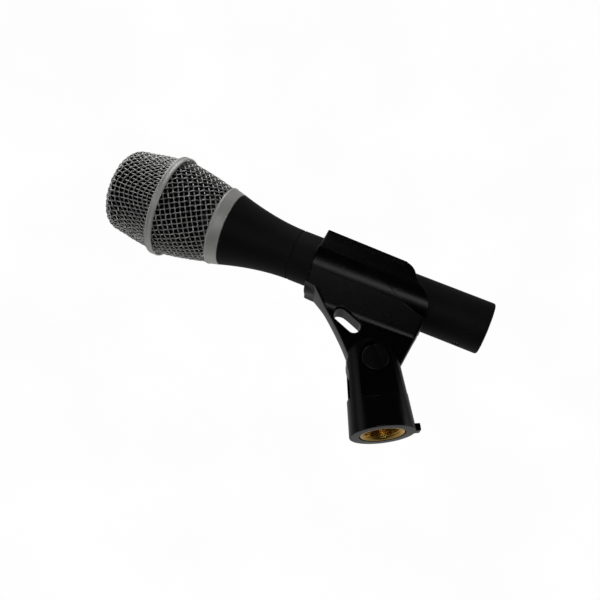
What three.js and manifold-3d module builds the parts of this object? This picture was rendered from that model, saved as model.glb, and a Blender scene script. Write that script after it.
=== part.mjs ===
// A hand-held vocal microphone in a swivelling stand clip, in millimetres, +Z up.
// The origin is the centre of the swivel base's bottom face, on the stand thread's axis.
// Everything on the microphone is laid out along its own axis, X, measured from the grille's nose.
import * as THREE from 'three';
import { mergeVertices } from 'three/addons/utils/BufferGeometryUtils.js';
import Module from 'manifold-3d';

const wasm = await Module();
wasm.setup();

// ---------- driving dimensions ----------
const degrees = THREE.MathUtils.degToRad;
const ROUND = 40;                 // segments round the outer turned pieces
const INNER_ROUND = 24;           // segments round the hidden turned pieces
const SMALL_ROUND = 16;           // segments round screws, cans and small holes
const GAP = 0.3;                  // clearance between pieces that touch
const SLIVER = 0.01;              // cut edges shorter than this are collapsed

const TILT = degrees(29);         // the microphone's slope at rest
const PIVOT_HEIGHT = 30.4;        // pivot screw above the base's bottom face
const AXIS_ABOVE_PIVOT = 37.2;    // microphone axis to pivot, square to the axis
const NOSE_TO_PIVOT = 145;        // nose to pivot, along the microphone axis

const LENGTH = 185;
const WALL = 2;
const HANDLE_RADIUS = 12;
const BAND = { front: 26.9, rear: 30.2, radius: 24.4, inner: 23.7, ridge: 0.25 };
const COLLAR = { front: 54.3, rear: 60, lipRadius: 18.9, rearRadius: 17.5, inner: 15.9 };
const SEAM = { front: 92.4, rear: 93.2 };
const MESH_THICKNESS = 0.9;
const FOAM_THICKNESS = 3;
const TAIL_BORE = 9.6;
const SET_SCREW = { at: 174.6, radius: 1.3 };

const BASE = { radius: 14.1, taper: 0.066, height: 39.2, earWidth: 12.2, earRise: 8.3, roundness: 2.6 };
const SLOT = { floor: 15.6, half: 5.05 };
const TONGUE = { half: 4.75, radius: 11.4 };
const POCKET = { floor: 9.3, arch: 6.9, bottom: 14.2, bottomHalf: 7.8, lip: 0.6, lipFloor: 10.7 };
const INSERT = { radius: 9.6, length: 12.4, bore: 7.55, mouth: 8.9, chamfer: 1.5, recess: 0.15 };
const SCREW = { shank: 2.3, hole: 2.6, head: 5.75, headTop: 11.9, headBottom: 10.35, end: 8.9 };
const SCREW_SLOT = { width: 2, depth: 1, lean: degrees(-11) };
const NUT = { flats: 8, front: 6.4, rear: 9.2 };

const SLEEVE = { front: 103, rear: 158.4, outer: 14.3, saddle: 15.5, bore: 12.45, shrink: 0.075 };
const LIP = { valley: degrees(4), height: 13.3, innerAngle: degrees(57), outerY: 10, innerY: 7.4 };
const FLANK = { y: 6.2, z: -19.2, fillet: 5 };
const WEB_HOLE = { x: -17.8, z: 13.9, length: 14, width: 6, slope: degrees(-21) };

const finish = (color, roughness, metalness) => new THREE.MeshStandardMaterial({ color, roughness, metalness });
const MESH_STEEL = finish(0x8e8d89, 0.4, 1);
const MATTE_SILVER = finish(0xa3a19c, 0.5, 0.8);
const HANDLE_BLACK = finish(0x222222, 0.6, 0.2);
const CLIP_BLACK = finish(0x17181b, 0.42, 0);
const BRASS = finish(0xc79a3a, 0.3, 1);
const BLACK_STEEL = finish(0x1e1e20, 0.4, 0.7);
const NICKEL = finish(0xb9b7b0, 0.3, 1);
const FOAM = finish(0x141416, 0.95, 0);
const RUBBER = finish(0x1c1b1b, 0.8, 0);
const INSULATOR = finish(0x24252a, 0.5, 0);
const AMBER_PLASTIC = finish(0xd8d2bd, 0.45, 0);
const GOLD_FILM = finish(0xd2aa52, 0.25, 1);
const BOARD_GREEN = finish(0x1e5a3a, 0.5, 0);
const CAN_BLUE = finish(0x27406f, 0.4, 0.2);
const LEAD_RED = finish(0x9a2420, 0.55, 0);
const LEAD_WHITE = finish(0xd8d6cf, 0.55, 0);
const LEAD_BLACK = finish(0x1b1b1d, 0.55, 0);

// ---------- geometry helpers ----------
function signedVolume(positions, index) {
  const [a, b, c] = [new THREE.Vector3(), new THREE.Vector3(), new THREE.Vector3()];
  let volume = 0;
  for (let i = 0; i < index.length; i += 3) {
    a.fromBufferAttribute(positions, index[i]);
    b.fromBufferAttribute(positions, index[i + 1]);
    c.fromBufferAttribute(positions, index[i + 2]);
    volume += a.dot(b.cross(c)) / 6;
  }
  return volume;
}

// One closed body: shared vertices merged, collapsed triangles dropped, faces pointing out.
function weld(geometry) {
  geometry.deleteAttribute('normal');
  geometry.deleteAttribute('uv');
  const merged = mergeVertices(geometry, 1e-4);
  const source = merged.index.array;
  const kept = [];
  for (let i = 0; i < source.length; i += 3) {
    const [a, b, c] = [source[i], source[i + 1], source[i + 2]];
    if (a !== b && b !== c && c !== a) kept.push(a, b, c);
  }
  if (signedVolume(merged.attributes.position, kept) < 0) kept.reverse();
  merged.setIndex(kept);
  return merged;
}

function toSolid(geometry) {
  const welded = weld(geometry);
  const vertProperties = Float32Array.from(welded.attributes.position.array);
  const triVerts = Uint32Array.from(welded.index.array);
  return new wasm.Manifold(new wasm.Mesh({ numProp: 3, vertProperties, triVerts }));
}

// Slivers that the cuts leave are collapsed within a hundredth of a millimetre.
function toGeometry(solid) {
  const mesh = solid.simplify(SLIVER).getMesh();
  const geometry = new THREE.BufferGeometry();
  geometry.setAttribute('position', new THREE.BufferAttribute(Float32Array.from(mesh.vertProperties), 3));
  geometry.setIndex(new THREE.BufferAttribute(Uint32Array.from(mesh.triVerts), 1));
  return geometry;
}

// A profile of [along, radius] points turned round the X axis; it closes on itself or on the axis.
function turned(points, segments = ROUND) {
  const profile = points.map(([along, radius]) => new THREE.Vector2(radius, along));
  return new THREE.LatheGeometry(profile, segments).rotateZ(-Math.PI / 2);
}

function disc(from, to, radius, segments = ROUND) {
  return turned([[from, 0], [from, radius], [to, radius], [to, 0]], segments);
}

function ring(from, to, inner, outer, segments = ROUND) {
  return turned([[from, inner], [from, outer], [to, outer], [to, inner], [from, inner]], segments);
}

// A shape in X and Z, given thickness along Y from y0 to y1.
function slab(shape, y0, y1, curveSegments = 12) {
  const options = { depth: y1 - y0, bevelEnabled: false, curveSegments };
  return new THREE.ExtrudeGeometry(shape, options).rotateX(Math.PI / 2).translate(0, y1, 0);
}

// A shape in Y and Z, run along X from x0 to x1.
function bar(shape, x0, x1, curveSegments = 16) {
  const options = { depth: x1 - x0, bevelEnabled: false, curveSegments };
  const turn = new THREE.Matrix4().makeBasis(
    new THREE.Vector3(0, 1, 0), new THREE.Vector3(0, 0, 1), new THREE.Vector3(1, 0, 0));
  return new THREE.ExtrudeGeometry(shape, options).applyMatrix4(turn).translate(x0, 0, 0);
}

function box(x0, x1, y0, y1, z0, z1) {
  const size = new THREE.BoxGeometry(x1 - x0, y1 - y0, z1 - z0);
  return size.translate((x0 + x1) / 2, (y0 + y1) / 2, (z0 + z1) / 2);
}

// A wire through hand-placed points.
function wire(points, radius, steps) {
  const route = new THREE.CatmullRomCurve3(points.map((point) => new THREE.Vector3(...point)));
  const section = new THREE.Shape().absarc(0, 0, radius, 0, Math.PI * 2);
  return new THREE.ExtrudeGeometry(section, { extrudePath: route, steps, curveSegments: 3, bevelEnabled: false });
}

function polygon(points) {
  return new THREE.Shape(points.map(([x, y]) => new THREE.Vector2(x, y)));
}

function add(group, name, geometry, material) {
  const mesh = new THREE.Mesh(weld(geometry), material);
  mesh.name = name;
  group.add(mesh);
}

// ---------- the microphone's outlines ----------
// Outside of the woven grille, nose to band: a nearly flat nose, a rounded shoulder, a slight flare.
function domeOutline(inset) {
  const shoulder = 7.4;
  const shoulderX = 7.6;
  const noseCentre = 12.6;
  const points = [[inset, 0], [0.55 + inset, 7.5]];
  for (let i = 0; i <= 5; i += 1) {
    const angle = degrees(4 + 82 * (i / 5));
    const x = shoulderX - (shoulderX - 1.1 - inset) * Math.cos(angle);
    points.push([x, noseCentre + (shoulder - inset) * Math.sin(angle)]);
  }
  points.push([17, 21.7 - inset], [24, 22.6 - inset], [28.2, 23.2 - inset]);
  return points;
}

// Outside of the lower grille, band to collar: a cone that bows outwards slightly.
function coneOutline(inset) {
  const [start, end] = [28.8, 54];
  const points = [];
  for (let i = 0; i <= 4; i += 1) {
    const t = i / 4;
    points.push([start + (end - start) * t, 23.3 - 4.9 * t + 2 * t * (1 - t) - inset]);
  }
  return points;
}

// Outside of the handle's front cone, collar to seam: a taper that eases into the straight tube.
function frontOutline(inset) {
  const [start, end] = [COLLAR.rear + 0.4, SEAM.front];
  const points = [];
  for (let i = 0; i <= 6; i += 1) {
    const t = i / 6;
    points.push([start + (end - start) * t, HANDLE_RADIUS + 5.3 * (1 - t) ** 1.75 - inset]);
  }
  return points;
}

// ---------- grille ----------
function grilleDome() {
  return turned([...domeOutline(0), ...domeOutline(MESH_THICKNESS).reverse()]);
}

function grilleCone() {
  const outside = coneOutline(0);
  return turned([...outside, ...coneOutline(MESH_THICKNESS).reverse(), outside[0]]);
}

function grilleBand() {
  const { front, rear, radius, inner, ridge } = BAND;
  return turned([
    [front, inner], [front, radius - ridge], [front + 0.3, radius], [front + 0.9, radius],
    [front + 1.2, radius - ridge], [rear - 1.2, radius - ridge], [rear - 0.9, radius],
    [rear - 0.3, radius], [rear, radius - ridge], [rear, inner], [front, inner],
  ]);
}

function popFoam() {
  const skin = MESH_THICKNESS + GAP;
  const outside = [...domeOutline(skin), ...coneOutline(skin)];
  const inside = [...domeOutline(skin + FOAM_THICKNESS), ...coneOutline(skin + FOAM_THICKNESS)];
  const rear = 49;
  const shorten = (line) => line.filter(([x]) => x < rear);
  return turned([...shorten(outside), ...shorten(inside).reverse()], INNER_ROUND);
}

function grilleCollar() {
  const { front, rear, lipRadius, rearRadius, inner } = COLLAR;
  return turned([
    [front, inner + 1], [front, lipRadius - 0.2], [front + 0.2, lipRadius], [front + 0.9, lipRadius],
    [front + 1.2, lipRadius - 0.35], [rear - 0.2, rearRadius], [rear, rearRadius - 0.2],
    [rear, inner], [50.5, inner], [50.5, inner + 1], [front, inner + 1],
  ]);
}

// ---------- cartridge ----------
function capsuleHousing() {
  return turned([[12.6, 11], [12.6, 12], [30, 12], [30, 3], [29, 3], [29, 11], [12.6, 11]], INNER_ROUND);
}

function capsuleFrontGrid() {
  let grid = toSolid(disc(11.2, 12.3, 12, INNER_ROUND));
  const holes = [[0, 0]];
  for (let i = 0; i < 6; i += 1) {
    holes.push([6 * Math.cos(degrees(60 * i)), 6 * Math.sin(degrees(60 * i))]);
  }
  for (const [y, z] of holes) {
    grid = grid.subtract(toSolid(disc(10, 14, 1.8, 12).translate(0, y, z)));
  }
  return toGeometry(grid);
}

function backplate() {
  let plate = toSolid(disc(15.3, 17.3, 9.4, INNER_ROUND));
  for (let i = 0; i < 6; i += 1) {
    const [y, z] = [5.5 * Math.cos(degrees(60 * i)), 5.5 * Math.sin(degrees(60 * i))];
    plate = plate.subtract(toSolid(disc(14, 19, 0.8, 8).translate(0, y, z)));
  }
  return toGeometry(plate);
}

function backplateHolder() {
  return turned([[17.6, 2.2], [17.6, 10.6], [21.5, 10.6], [21.5, 2.2], [17.6, 2.2]], INNER_ROUND);
}

function shockMount() {
  return turned([
    [22, 12.3], [22, 14.2], [24, 14.8], [30, 14.8], [32, 13.4], [36, 13.4],
    [36, 8], [30.4, 8], [30.4, 12.3], [22, 12.3],
  ], INNER_ROUND);
}

function cartridgeCup() {
  return turned([
    [36.3, 7.4], [36.3, 14], [40, 14], [42, 13.2], [62, 13.2], [62, 11.4], [43, 11.4],
    [40, 7.4], [36.3, 7.4],
  ], INNER_ROUND);
}

// ---------- handle ----------
function handleFront() {
  const neck = COLLAR.inner - GAP;
  const outside = frontOutline(0);
  const inside = frontOutline(WALL).filter(([x]) => x > 64);
  return turned([
    [52, 13.6], [52, neck], [COLLAR.rear + 0.3, neck], ...outside, ...inside.reverse(),
    [63, 13.6], [52, 13.6],
  ]);
}

function seamRing() {
  return ring(SEAM.front + 0.1, SEAM.rear - 0.1, HANDLE_RADIUS - WALL, HANDLE_RADIUS - 0.25);
}

function handleRear() {
  const edge = 1;
  const end = LENGTH;
  const tube = toSolid(turned([
    [SEAM.rear, HANDLE_RADIUS - WALL], [SEAM.rear, HANDLE_RADIUS], [end - edge, HANDLE_RADIUS],
    [end - edge * 0.3, HANDLE_RADIUS - edge * 0.3], [end, HANDLE_RADIUS - edge], [end, TAIL_BORE + 0.3],
    [end - 0.3, TAIL_BORE], [163, TAIL_BORE], [163, HANDLE_RADIUS - WALL],
    [SEAM.rear, HANDLE_RADIUS - WALL],
  ]));
  const hole = toSolid(disc(-HANDLE_RADIUS - 2, -TAIL_BORE + 2, SET_SCREW.radius + GAP, SMALL_ROUND));
  const turn = new THREE.Matrix4().makeRotationY(-Math.PI / 2).setPosition(SET_SCREW.at, 0, 0);
  const holeAtTail = hole.transform(turn.elements);
  return toGeometry(tube.subtract(holeAtTail));
}

// ---------- electronics ----------
const BOARD = { front: 97, rear: 156, half: 8.2, thick: 1.6, z: -1.6 };

function preampBoard() {
  return box(BOARD.front, BOARD.rear, -BOARD.half, BOARD.half, BOARD.z - BOARD.thick, BOARD.z);
}

function boardRail(x) {
  const hoop = toSolid(ring(x, x + 4, 8.6, 9.7, SMALL_ROUND));
  const bottom = BOARD.z - BOARD.thick;
  const ledge = toSolid(box(x, x + 4, -9, 9, bottom - 2.3, bottom - GAP));
  const outside = toSolid(disc(x - 1, x + 5, 9.7, SMALL_ROUND));
  const board = toSolid(box(x - 1, x + 5, -BOARD.half - GAP, BOARD.half + GAP, bottom - GAP, BOARD.z + GAP));
  return toGeometry(hoop.add(ledge).intersect(outside).subtract(board));
}

function lyingCan(x, y, radius, length) {
  return disc(x, x + length, radius, SMALL_ROUND).translate(0, y, BOARD.z + GAP + radius);
}

function standingCan(x, y, radius, height) {
  return disc(0, height, radius, SMALL_ROUND).rotateY(-Math.PI / 2).translate(x, y, BOARD.z + GAP);
}

// ---------- connector ----------
const PIN = { radius: 1.2, circle: 4.1, front: 158, rear: 182.4 };

function connectorInsert() {
  let insert = toSolid(turned([[160, 0], [160, 8.9], [163.4, 8.9], [163.4, 9.3], [167.5, 9.3], [167.5, 0]], INNER_ROUND));
  for (let i = 0; i < 3; i += 1) {
    const [y, z] = pinPlace(i);
    insert = insert.subtract(toSolid(disc(159, 169, PIN.radius + GAP, 12).translate(0, y, z)));
  }
  const key = toSolid(box(166, 169, -1.3, 1.3, 7.6, 10));
  return toGeometry(insert.subtract(key));
}

function pinPlace(index) {
  const angle = degrees(-90 + 120 * index);
  return [PIN.circle * Math.cos(angle), PIN.circle * Math.sin(angle)];
}

function connectorPin(index) {
  const [y, z] = pinPlace(index);
  const { front, rear, radius } = PIN;
  return turned([
    [front, 0], [front, radius], [rear - 0.7, radius], [rear - 0.2, radius * 0.7], [rear, 0],
  ], 12).translate(0, y, z);
}

function connectorSetScrew() {
  const body = toSolid(disc(0, 2, SET_SCREW.radius, 16));
  const drive = toSolid(box(-0.6, 0.7, -0.3, 0.3, -2, 2));
  const screw = toGeometry(body.subtract(drive));
  return screw.rotateY(-Math.PI / 2).translate(SET_SCREW.at, 0, -HANDLE_RADIUS + 0.2);
}

// ---------- clip holder, in the pivot's frame ----------
function sleeveSection() {
  const { outer, bore } = SLEEVE;
  const inner = [Math.cos(LIP.innerAngle) * bore, Math.sin(LIP.innerAngle) * bore];
  const shape = new THREE.Shape();
  shape.absarc(0, 0, outer, -Math.PI / 2, LIP.valley);
  shape.quadraticCurveTo(outer - 3.1, 7, LIP.outerY, LIP.height - 0.7);
  shape.lineTo(LIP.outerY - 0.8, LIP.height);
  shape.lineTo(LIP.innerY, LIP.height);
  shape.lineTo(inner[0], inner[1]);
  shape.absarc(0, 0, bore, LIP.innerAngle, Math.PI - LIP.innerAngle, true);
  shape.lineTo(-LIP.innerY, LIP.height);
  shape.lineTo(-LIP.outerY + 0.8, LIP.height);
  shape.lineTo(-LIP.outerY, LIP.height - 0.7);
  shape.quadraticCurveTo(-outer + 3.1, 7, -outer * Math.cos(LIP.valley), outer * Math.sin(LIP.valley));
  shape.absarc(0, 0, outer, Math.PI - LIP.valley, Math.PI * 1.5);
  return shape;
}

// The underside's section: the saddle circle, straight flanks and fillets down to the web.
function saddleSection() {
  const { saddle } = SLEEVE;
  const { y, z, fillet } = FLANK;
  const slope = Math.atan2(z, y) + Math.acos(saddle / Math.hypot(y, z));
  const half = TONGUE.half - 0.15;
  const side = half + fillet;
  const centre = (saddle + fillet - Math.cos(slope) * side) / Math.sin(slope);
  const foot = centre - 1;
  const shape = new THREE.Shape();
  shape.absarc(0, 0, saddle, degrees(60), slope, true);
  shape.absarc(side, centre, fillet, slope + Math.PI, Math.PI);
  shape.lineTo(half, foot);
  shape.lineTo(-half, foot);
  shape.absarc(-side, centre, fillet, 0, -slope);
  shape.absarc(0, 0, saddle, Math.PI - slope, Math.PI - degrees(60), true);
  return shape;
}

// The sleeve narrows towards the tail.
function narrowed(geometry) {
  const positions = geometry.attributes.position;
  const span = SLEEVE.rear - SLEEVE.front;
  for (let i = 0; i < positions.count; i += 1) {
    const scale = 1 - SLEEVE.shrink * ((positions.getX(i) - SLEEVE.front) / span);
    positions.setY(i, positions.getY(i) * scale);
    positions.setZ(i, positions.getZ(i) * scale);
  }
  return geometry;
}

// Side outline of the sleeve: square front, straight lip tops, a rear end that slants back downwards.
function sleeveSideOutline() {
  const shape = new THREE.Shape();
  shape.moveTo(SLEEVE.front, -30);
  shape.lineTo(SLEEVE.front, 20);
  shape.lineTo(139, 20);
  shape.lineTo(141.5, 12.6);
  shape.quadraticCurveTo(145.5, 11.6, 147.2, 8);
  shape.quadraticCurveTo(149.5, 3.2, 153.4, 0);
  shape.quadraticCurveTo(SLEEVE.rear, -4, SLEEVE.rear, -10);
  shape.lineTo(SLEEVE.rear, -30);
  return shape;
}

// Side outline of the thicker saddle: its upper edge follows the valley and then sweeps down.
function saddleSideOutline() {
  const shape = new THREE.Shape();
  shape.moveTo(SLEEVE.front, 1);
  shape.lineTo(122, 0.6);
  shape.bezierCurveTo(134, 0.2, 141, -8.6, SLEEVE.rear, -10.8);
  shape.lineTo(SLEEVE.rear, -30);
  shape.lineTo(SLEEVE.front, -30);
  return shape;
}

// Side outline of the web about the pivot: concave front edge, round tongue, steep rear edge.
function webSideOutline() {
  const { radius } = TONGUE;
  const top = AXIS_ABOVE_PIVOT;
  const frontAngle = degrees(186);
  const rearAngle = degrees(16);
  const shape = new THREE.Shape();
  shape.moveTo(SLEEVE.front - NOSE_TO_PIVOT, top);
  shape.lineTo(SLEEVE.front - NOSE_TO_PIVOT, 21.8);
  shape.lineTo(-36.9, 22);
  shape.quadraticCurveTo(-20, 8.9, radius * Math.cos(frontAngle), radius * Math.sin(frontAngle));
  shape.absarc(0, 0, radius, frontAngle, rearAngle + Math.PI * 2);
  shape.lineTo(SLEEVE.rear - NOSE_TO_PIVOT, 25.8);
  shape.lineTo(SLEEVE.rear - NOSE_TO_PIVOT, top);
  return shape;
}

function clipHolder() {
  const { front, rear, bore } = SLEEVE;
  const toPivot = (geometry) => geometry.translate(-NOSE_TO_PIVOT, 0, AXIS_ABOVE_PIVOT);
  const sleeve = toSolid(toPivot(narrowed(bar(sleeveSection(), front, rear, 14))));
  const silhouette = toSolid(toPivot(slab(sleeveSideOutline(), -20, 20)));
  const under = toSolid(toPivot(narrowed(bar(saddleSection(), front, rear, 12))));
  const saddleSide = toSolid(toPivot(slab(saddleSideOutline(), -20, 20)));
  const webSide = toSolid(slab(webSideOutline(), -20, 20));
  const tongue = toSolid(slab(webSideOutline(), -TONGUE.half, TONGUE.half));
  const webBelow = toSolid(box(-60, 40, -20, 20, -20, AXIS_ABOVE_PIVOT - SLEEVE.saddle * 0.7));
  const passage = toSolid(toPivot(turned([
    [front - 1, 0], [front - 1, bore + 0.5], [front, bore + 0.5], [front + 1, bore], [rear + 1, bore], [rear + 1, 0],
  ], ROUND)));
  const saddle = under.intersect(saddleSide);
  const web = tongue.intersect(webBelow);
  const hole = toSolid(slab(webHoleShape(), -8, 8));
  const pivotHole = toSolid(disc(-8, 8, SCREW.hole, SMALL_ROUND).rotateZ(Math.PI / 2));
  const lower = saddle.intersect(webSide).add(web);
  const whole = sleeve.intersect(silhouette).add(lower).subtract(passage).subtract(hole).subtract(pivotHole);
  return toGeometry(whole);
}

function webHoleShape() {
  const { x, z, length, width, slope } = WEB_HOLE;
  const reach = (length - width) / 2;
  const [dx, dz] = [reach * Math.cos(slope), reach * Math.sin(slope)];
  const shape = new THREE.Shape();
  shape.absarc(x + dx, z + dz, width / 2, slope - Math.PI / 2, slope + Math.PI / 2);
  shape.absarc(x - dx, z - dz, width / 2, slope + Math.PI / 2, slope + Math.PI * 1.5);
  return shape;
}

// ---------- swivel base ----------
function upright(geometry) {
  return geometry.rotateY(-Math.PI / 2);
}

function earOutline() {
  const { earWidth, earRise, roundness } = BASE;
  const shape = new THREE.Shape();
  shape.moveTo(-20, -1);
  shape.lineTo(20, -1);
  shape.lineTo(20, PIVOT_HEIGHT);
  const steps = 28;
  for (let i = 0; i <= steps; i += 1) {
    const angle = Math.PI * (i / steps);
    const x = Math.sign(Math.cos(angle)) * Math.abs(Math.cos(angle)) ** (2 / roundness);
    const z = Math.sin(angle) ** (2 / roundness);
    shape.lineTo(earWidth * x, PIVOT_HEIGHT + earRise * z);
  }
  shape.lineTo(-20, PIVOT_HEIGHT);
  return shape;
}

function pocketShape(grow) {
  const { arch, bottom, bottomHalf } = POCKET;
  const corner = 1.6;
  const [half, foot, radius] = [bottomHalf + grow, bottom - grow, arch + grow];
  const shape = new THREE.Shape();
  shape.absarc(0, PIVOT_HEIGHT, radius, 0, Math.PI);
  shape.lineTo(-half, foot + corner);
  shape.quadraticCurveTo(-half, foot, -half + corner, foot - 0.1);
  shape.quadraticCurveTo(0, foot - 0.8, half - corner, foot - 0.1);
  shape.quadraticCurveTo(half, foot, half, foot + corner);
  return shape;
}

function hexagon(flats) {
  const corner = flats / 2 / Math.cos(Math.PI / 6);
  const points = [];
  for (let i = 0; i < 6; i += 1) {
    points.push([corner * Math.cos(degrees(60 * i)), PIVOT_HEIGHT + corner * Math.sin(degrees(60 * i))]);
  }
  return polygon(points);
}

function swivelBase() {
  const { radius, taper, height } = BASE;
  const edge = 0.4;
  const body = toSolid(upright(turned([
    [0, 0], [0, radius - edge], [edge, radius], [height, radius - taper * height], [height, 0],
  ], 64)));
  const ears = toSolid(slab(earOutline(), -20, 20));
  const lug = toSolid(box(radius - 2, radius + 1.9, -2, 2, 0, 3.2));
  const slot = toSolid(box(-20, 20, -SLOT.half, SLOT.half, SLOT.floor, height + 5));
  const cavity = toSolid(upright(disc(-1, INSERT.length + GAP, INSERT.radius + GAP)));
  const bore = toSolid(disc(-20, 20, SCREW.hole, SMALL_ROUND).rotateZ(Math.PI / 2).translate(0, 0, PIVOT_HEIGHT));
  const nutSeat = toSolid(slab(hexagon(NUT.flats + 2 * GAP), NUT.front - GAP, 20));
  let base = body.intersect(ears).add(lug).subtract(slot).subtract(cavity).subtract(bore).subtract(nutSeat);
  for (const side of [-1, 1]) {
    const [deep, shallow] = [side * POCKET.floor, side * POCKET.lipFloor];
    base = base.subtract(toSolid(slab(pocketShape(0), Math.min(deep, side * 20), Math.max(deep, side * 20))));
    const lip = slab(pocketShape(POCKET.lip), Math.min(shallow, side * 20), Math.max(shallow, side * 20));
    base = base.subtract(toSolid(lip));
  }
  return toGeometry(base);
}

function threadInsert() {
  const { radius, length, bore, mouth, chamfer, recess } = INSERT;
  return upright(turned([
    [recess, mouth], [recess, radius], [length, radius], [length, bore], [recess + chamfer, bore], [recess, mouth],
  ]));
}

function pivotScrew() {
  const { shank, head, headTop, headBottom, end } = SCREW;
  const body = toSolid(turned([
    [-headTop, 0], [-headTop, head - 0.5], [-headTop + 0.4, head], [-headBottom, head],
    [-headBottom, shank], [end, shank], [end, 0],
  ], 32).rotateZ(Math.PI / 2));
  const { width, depth, lean } = SCREW_SLOT;
  const cut = box(-width / 2, width / 2, -headTop - 1, -headTop + depth, -10, 10).rotateY(lean);
  return toGeometry(body.subtract(toSolid(cut))).translate(0, 0, PIVOT_HEIGHT);
}

function screwWasher() {
  const [front, rear] = [-SCREW.headBottom + GAP, -POCKET.floor - GAP];
  return ring(front, rear, SCREW.hole, 4.6, SMALL_ROUND).rotateZ(Math.PI / 2).translate(0, 0, PIVOT_HEIGHT);
}

function pivotNut() {
  const hex = toSolid(slab(hexagon(NUT.flats), NUT.front, NUT.rear));
  const hole = toSolid(disc(-20, 20, SCREW.hole, SMALL_ROUND).rotateZ(Math.PI / 2).translate(0, 0, PIVOT_HEIGHT));
  return toGeometry(hex.subtract(hole));
}

// ---------- assembly ----------
const part = new THREE.Group();

const stand = new THREE.Group();
add(stand, 'swivel_base', swivelBase(), CLIP_BLACK);
add(stand, 'thread_insert', threadInsert(), BRASS);
add(stand, 'pivot_screw', pivotScrew(), BLACK_STEEL);
add(stand, 'screw_washer', screwWasher(), NICKEL);
add(stand, 'pivot_nut', pivotNut(), NICKEL);
part.add(stand);

const tilting = new THREE.Group();
tilting.position.set(0, 0, PIVOT_HEIGHT);
tilting.rotation.y = TILT;
add(tilting, 'clip_holder', clipHolder(), CLIP_BLACK);
part.add(tilting);

const microphone = new THREE.Group();
microphone.position.set(-NOSE_TO_PIVOT, 0, AXIS_ABOVE_PIVOT);
tilting.add(microphone);

add(microphone, 'grille_dome', grilleDome(), MESH_STEEL);
add(microphone, 'grille_cone', grilleCone(), MESH_STEEL);
add(microphone, 'grille_band', grilleBand(), MATTE_SILVER);
add(microphone, 'grille_collar', grilleCollar(), MATTE_SILVER);
add(microphone, 'pop_foam', popFoam(), FOAM);

add(microphone, 'capsule_housing', capsuleHousing(), NICKEL);
add(microphone, 'capsule_front_grid', capsuleFrontGrid(), NICKEL);
add(microphone, 'diaphragm_ring', ring(13, 14.4, 8.8, 10.6, INNER_ROUND), BRASS);
add(microphone, 'diaphragm', disc(14.7, 15, 10.6, INNER_ROUND), GOLD_FILM);
add(microphone, 'backplate', backplate(), BRASS);
add(microphone, 'backplate_holder', backplateHolder(), AMBER_PLASTIC);
add(microphone, 'capsule_contact', disc(17.7, 27, 1.6, SMALL_ROUND), BRASS);
add(microphone, 'shock_mount', shockMount(), RUBBER);
add(microphone, 'cartridge_cup', cartridgeCup(), INSULATOR);

add(microphone, 'handle_front', handleFront(), HANDLE_BLACK);
add(microphone, 'seam_ring', seamRing(), RUBBER);
add(microphone, 'handle_rear', handleRear(), HANDLE_BLACK);

add(microphone, 'preamp_board', preampBoard(), BOARD_GREEN);
add(microphone, 'board_rail_front', boardRail(101), INSULATOR);
add(microphone, 'board_rail_rear', boardRail(148), INSULATOR);
add(microphone, 'coupling_capacitor_1', lyingCan(108, -3.6, 2.6, 8), CAN_BLUE);
add(microphone, 'coupling_capacitor_2', lyingCan(108, 3.6, 2.6, 8), CAN_BLUE);
add(microphone, 'filter_capacitor', lyingCan(134, 2.5, 3, 10), CAN_BLUE);
add(microphone, 'input_transistor', standingCan(122, 0, 2.3, 4.4), NICKEL);
add(microphone, 'output_transistor_1', standingCan(129, -4.4, 2, 4), INSULATOR);
add(microphone, 'output_transistor_2', standingCan(136, -4.4, 2, 4), INSULATOR);

const signalY = 1;
add(microphone, 'capsule_lead_signal', wire([
  [27.5, 0, 0], [34, signalY, 1], [46, 4, 3], [62, 5, 3.4], [84, 5.4, 2.6], [97, 5.6, 0.6], [100, 5.6, 0],
], 0.55, 18), LEAD_RED);
add(microphone, 'capsule_lead_ground', wire([
  [30.6, -4.6, 0], [38, -4.8, 1], [50, -5.2, 3], [64, -5.4, 3.4], [84, -5.6, 2.6], [97, -5.6, 0.6], [100, -5.6, 0],
], 0.55, 18), LEAD_BLACK);

add(microphone, 'connector_insert', connectorInsert(), INSULATOR);
for (let i = 0; i < 3; i += 1) {
  add(microphone, `connector_pin_${i + 1}`, connectorPin(i), NICKEL);
}
const leads = [['output_lead_ground', LEAD_BLACK], ['output_lead_plus', LEAD_RED], ['output_lead_minus', LEAD_WHITE]];
leads.forEach(([name, material], i) => {
  const [y, z] = pinPlace(i);
  const side = [0, 4.6, -4.6][i];
  const height = i === 0 ? BOARD.z - BOARD.thick - 0.9 : BOARD.z + 0.9;
  add(microphone, name, wire([
    [152.6, side, height], [154, side, height], [155.6, (side + y) / 2, (z + height) / 2], [157.6, y, z],
  ], 0.5, 8), material);
});
add(microphone, 'connector_set_screw', connectorSetScrew(), BLACK_STEEL);

export default part;
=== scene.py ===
"""Visual model of a hand-held vocal microphone resting in a swivelling stand clip.

Lengths in the classes are millimetres and become metres when a mesh is made. Along the
microphone, X runs from the grille's nose (0) to the tail (185); the holder is laid out about
its pivot; the base stands with its bottom face on the origin.
"""
import logging
import math
from dataclasses import dataclass
from enum import Enum
from typing import Any, Iterable, Sequence

import bmesh
import bpy
import numpy as np
from mathutils import Matrix, Vector


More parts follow.
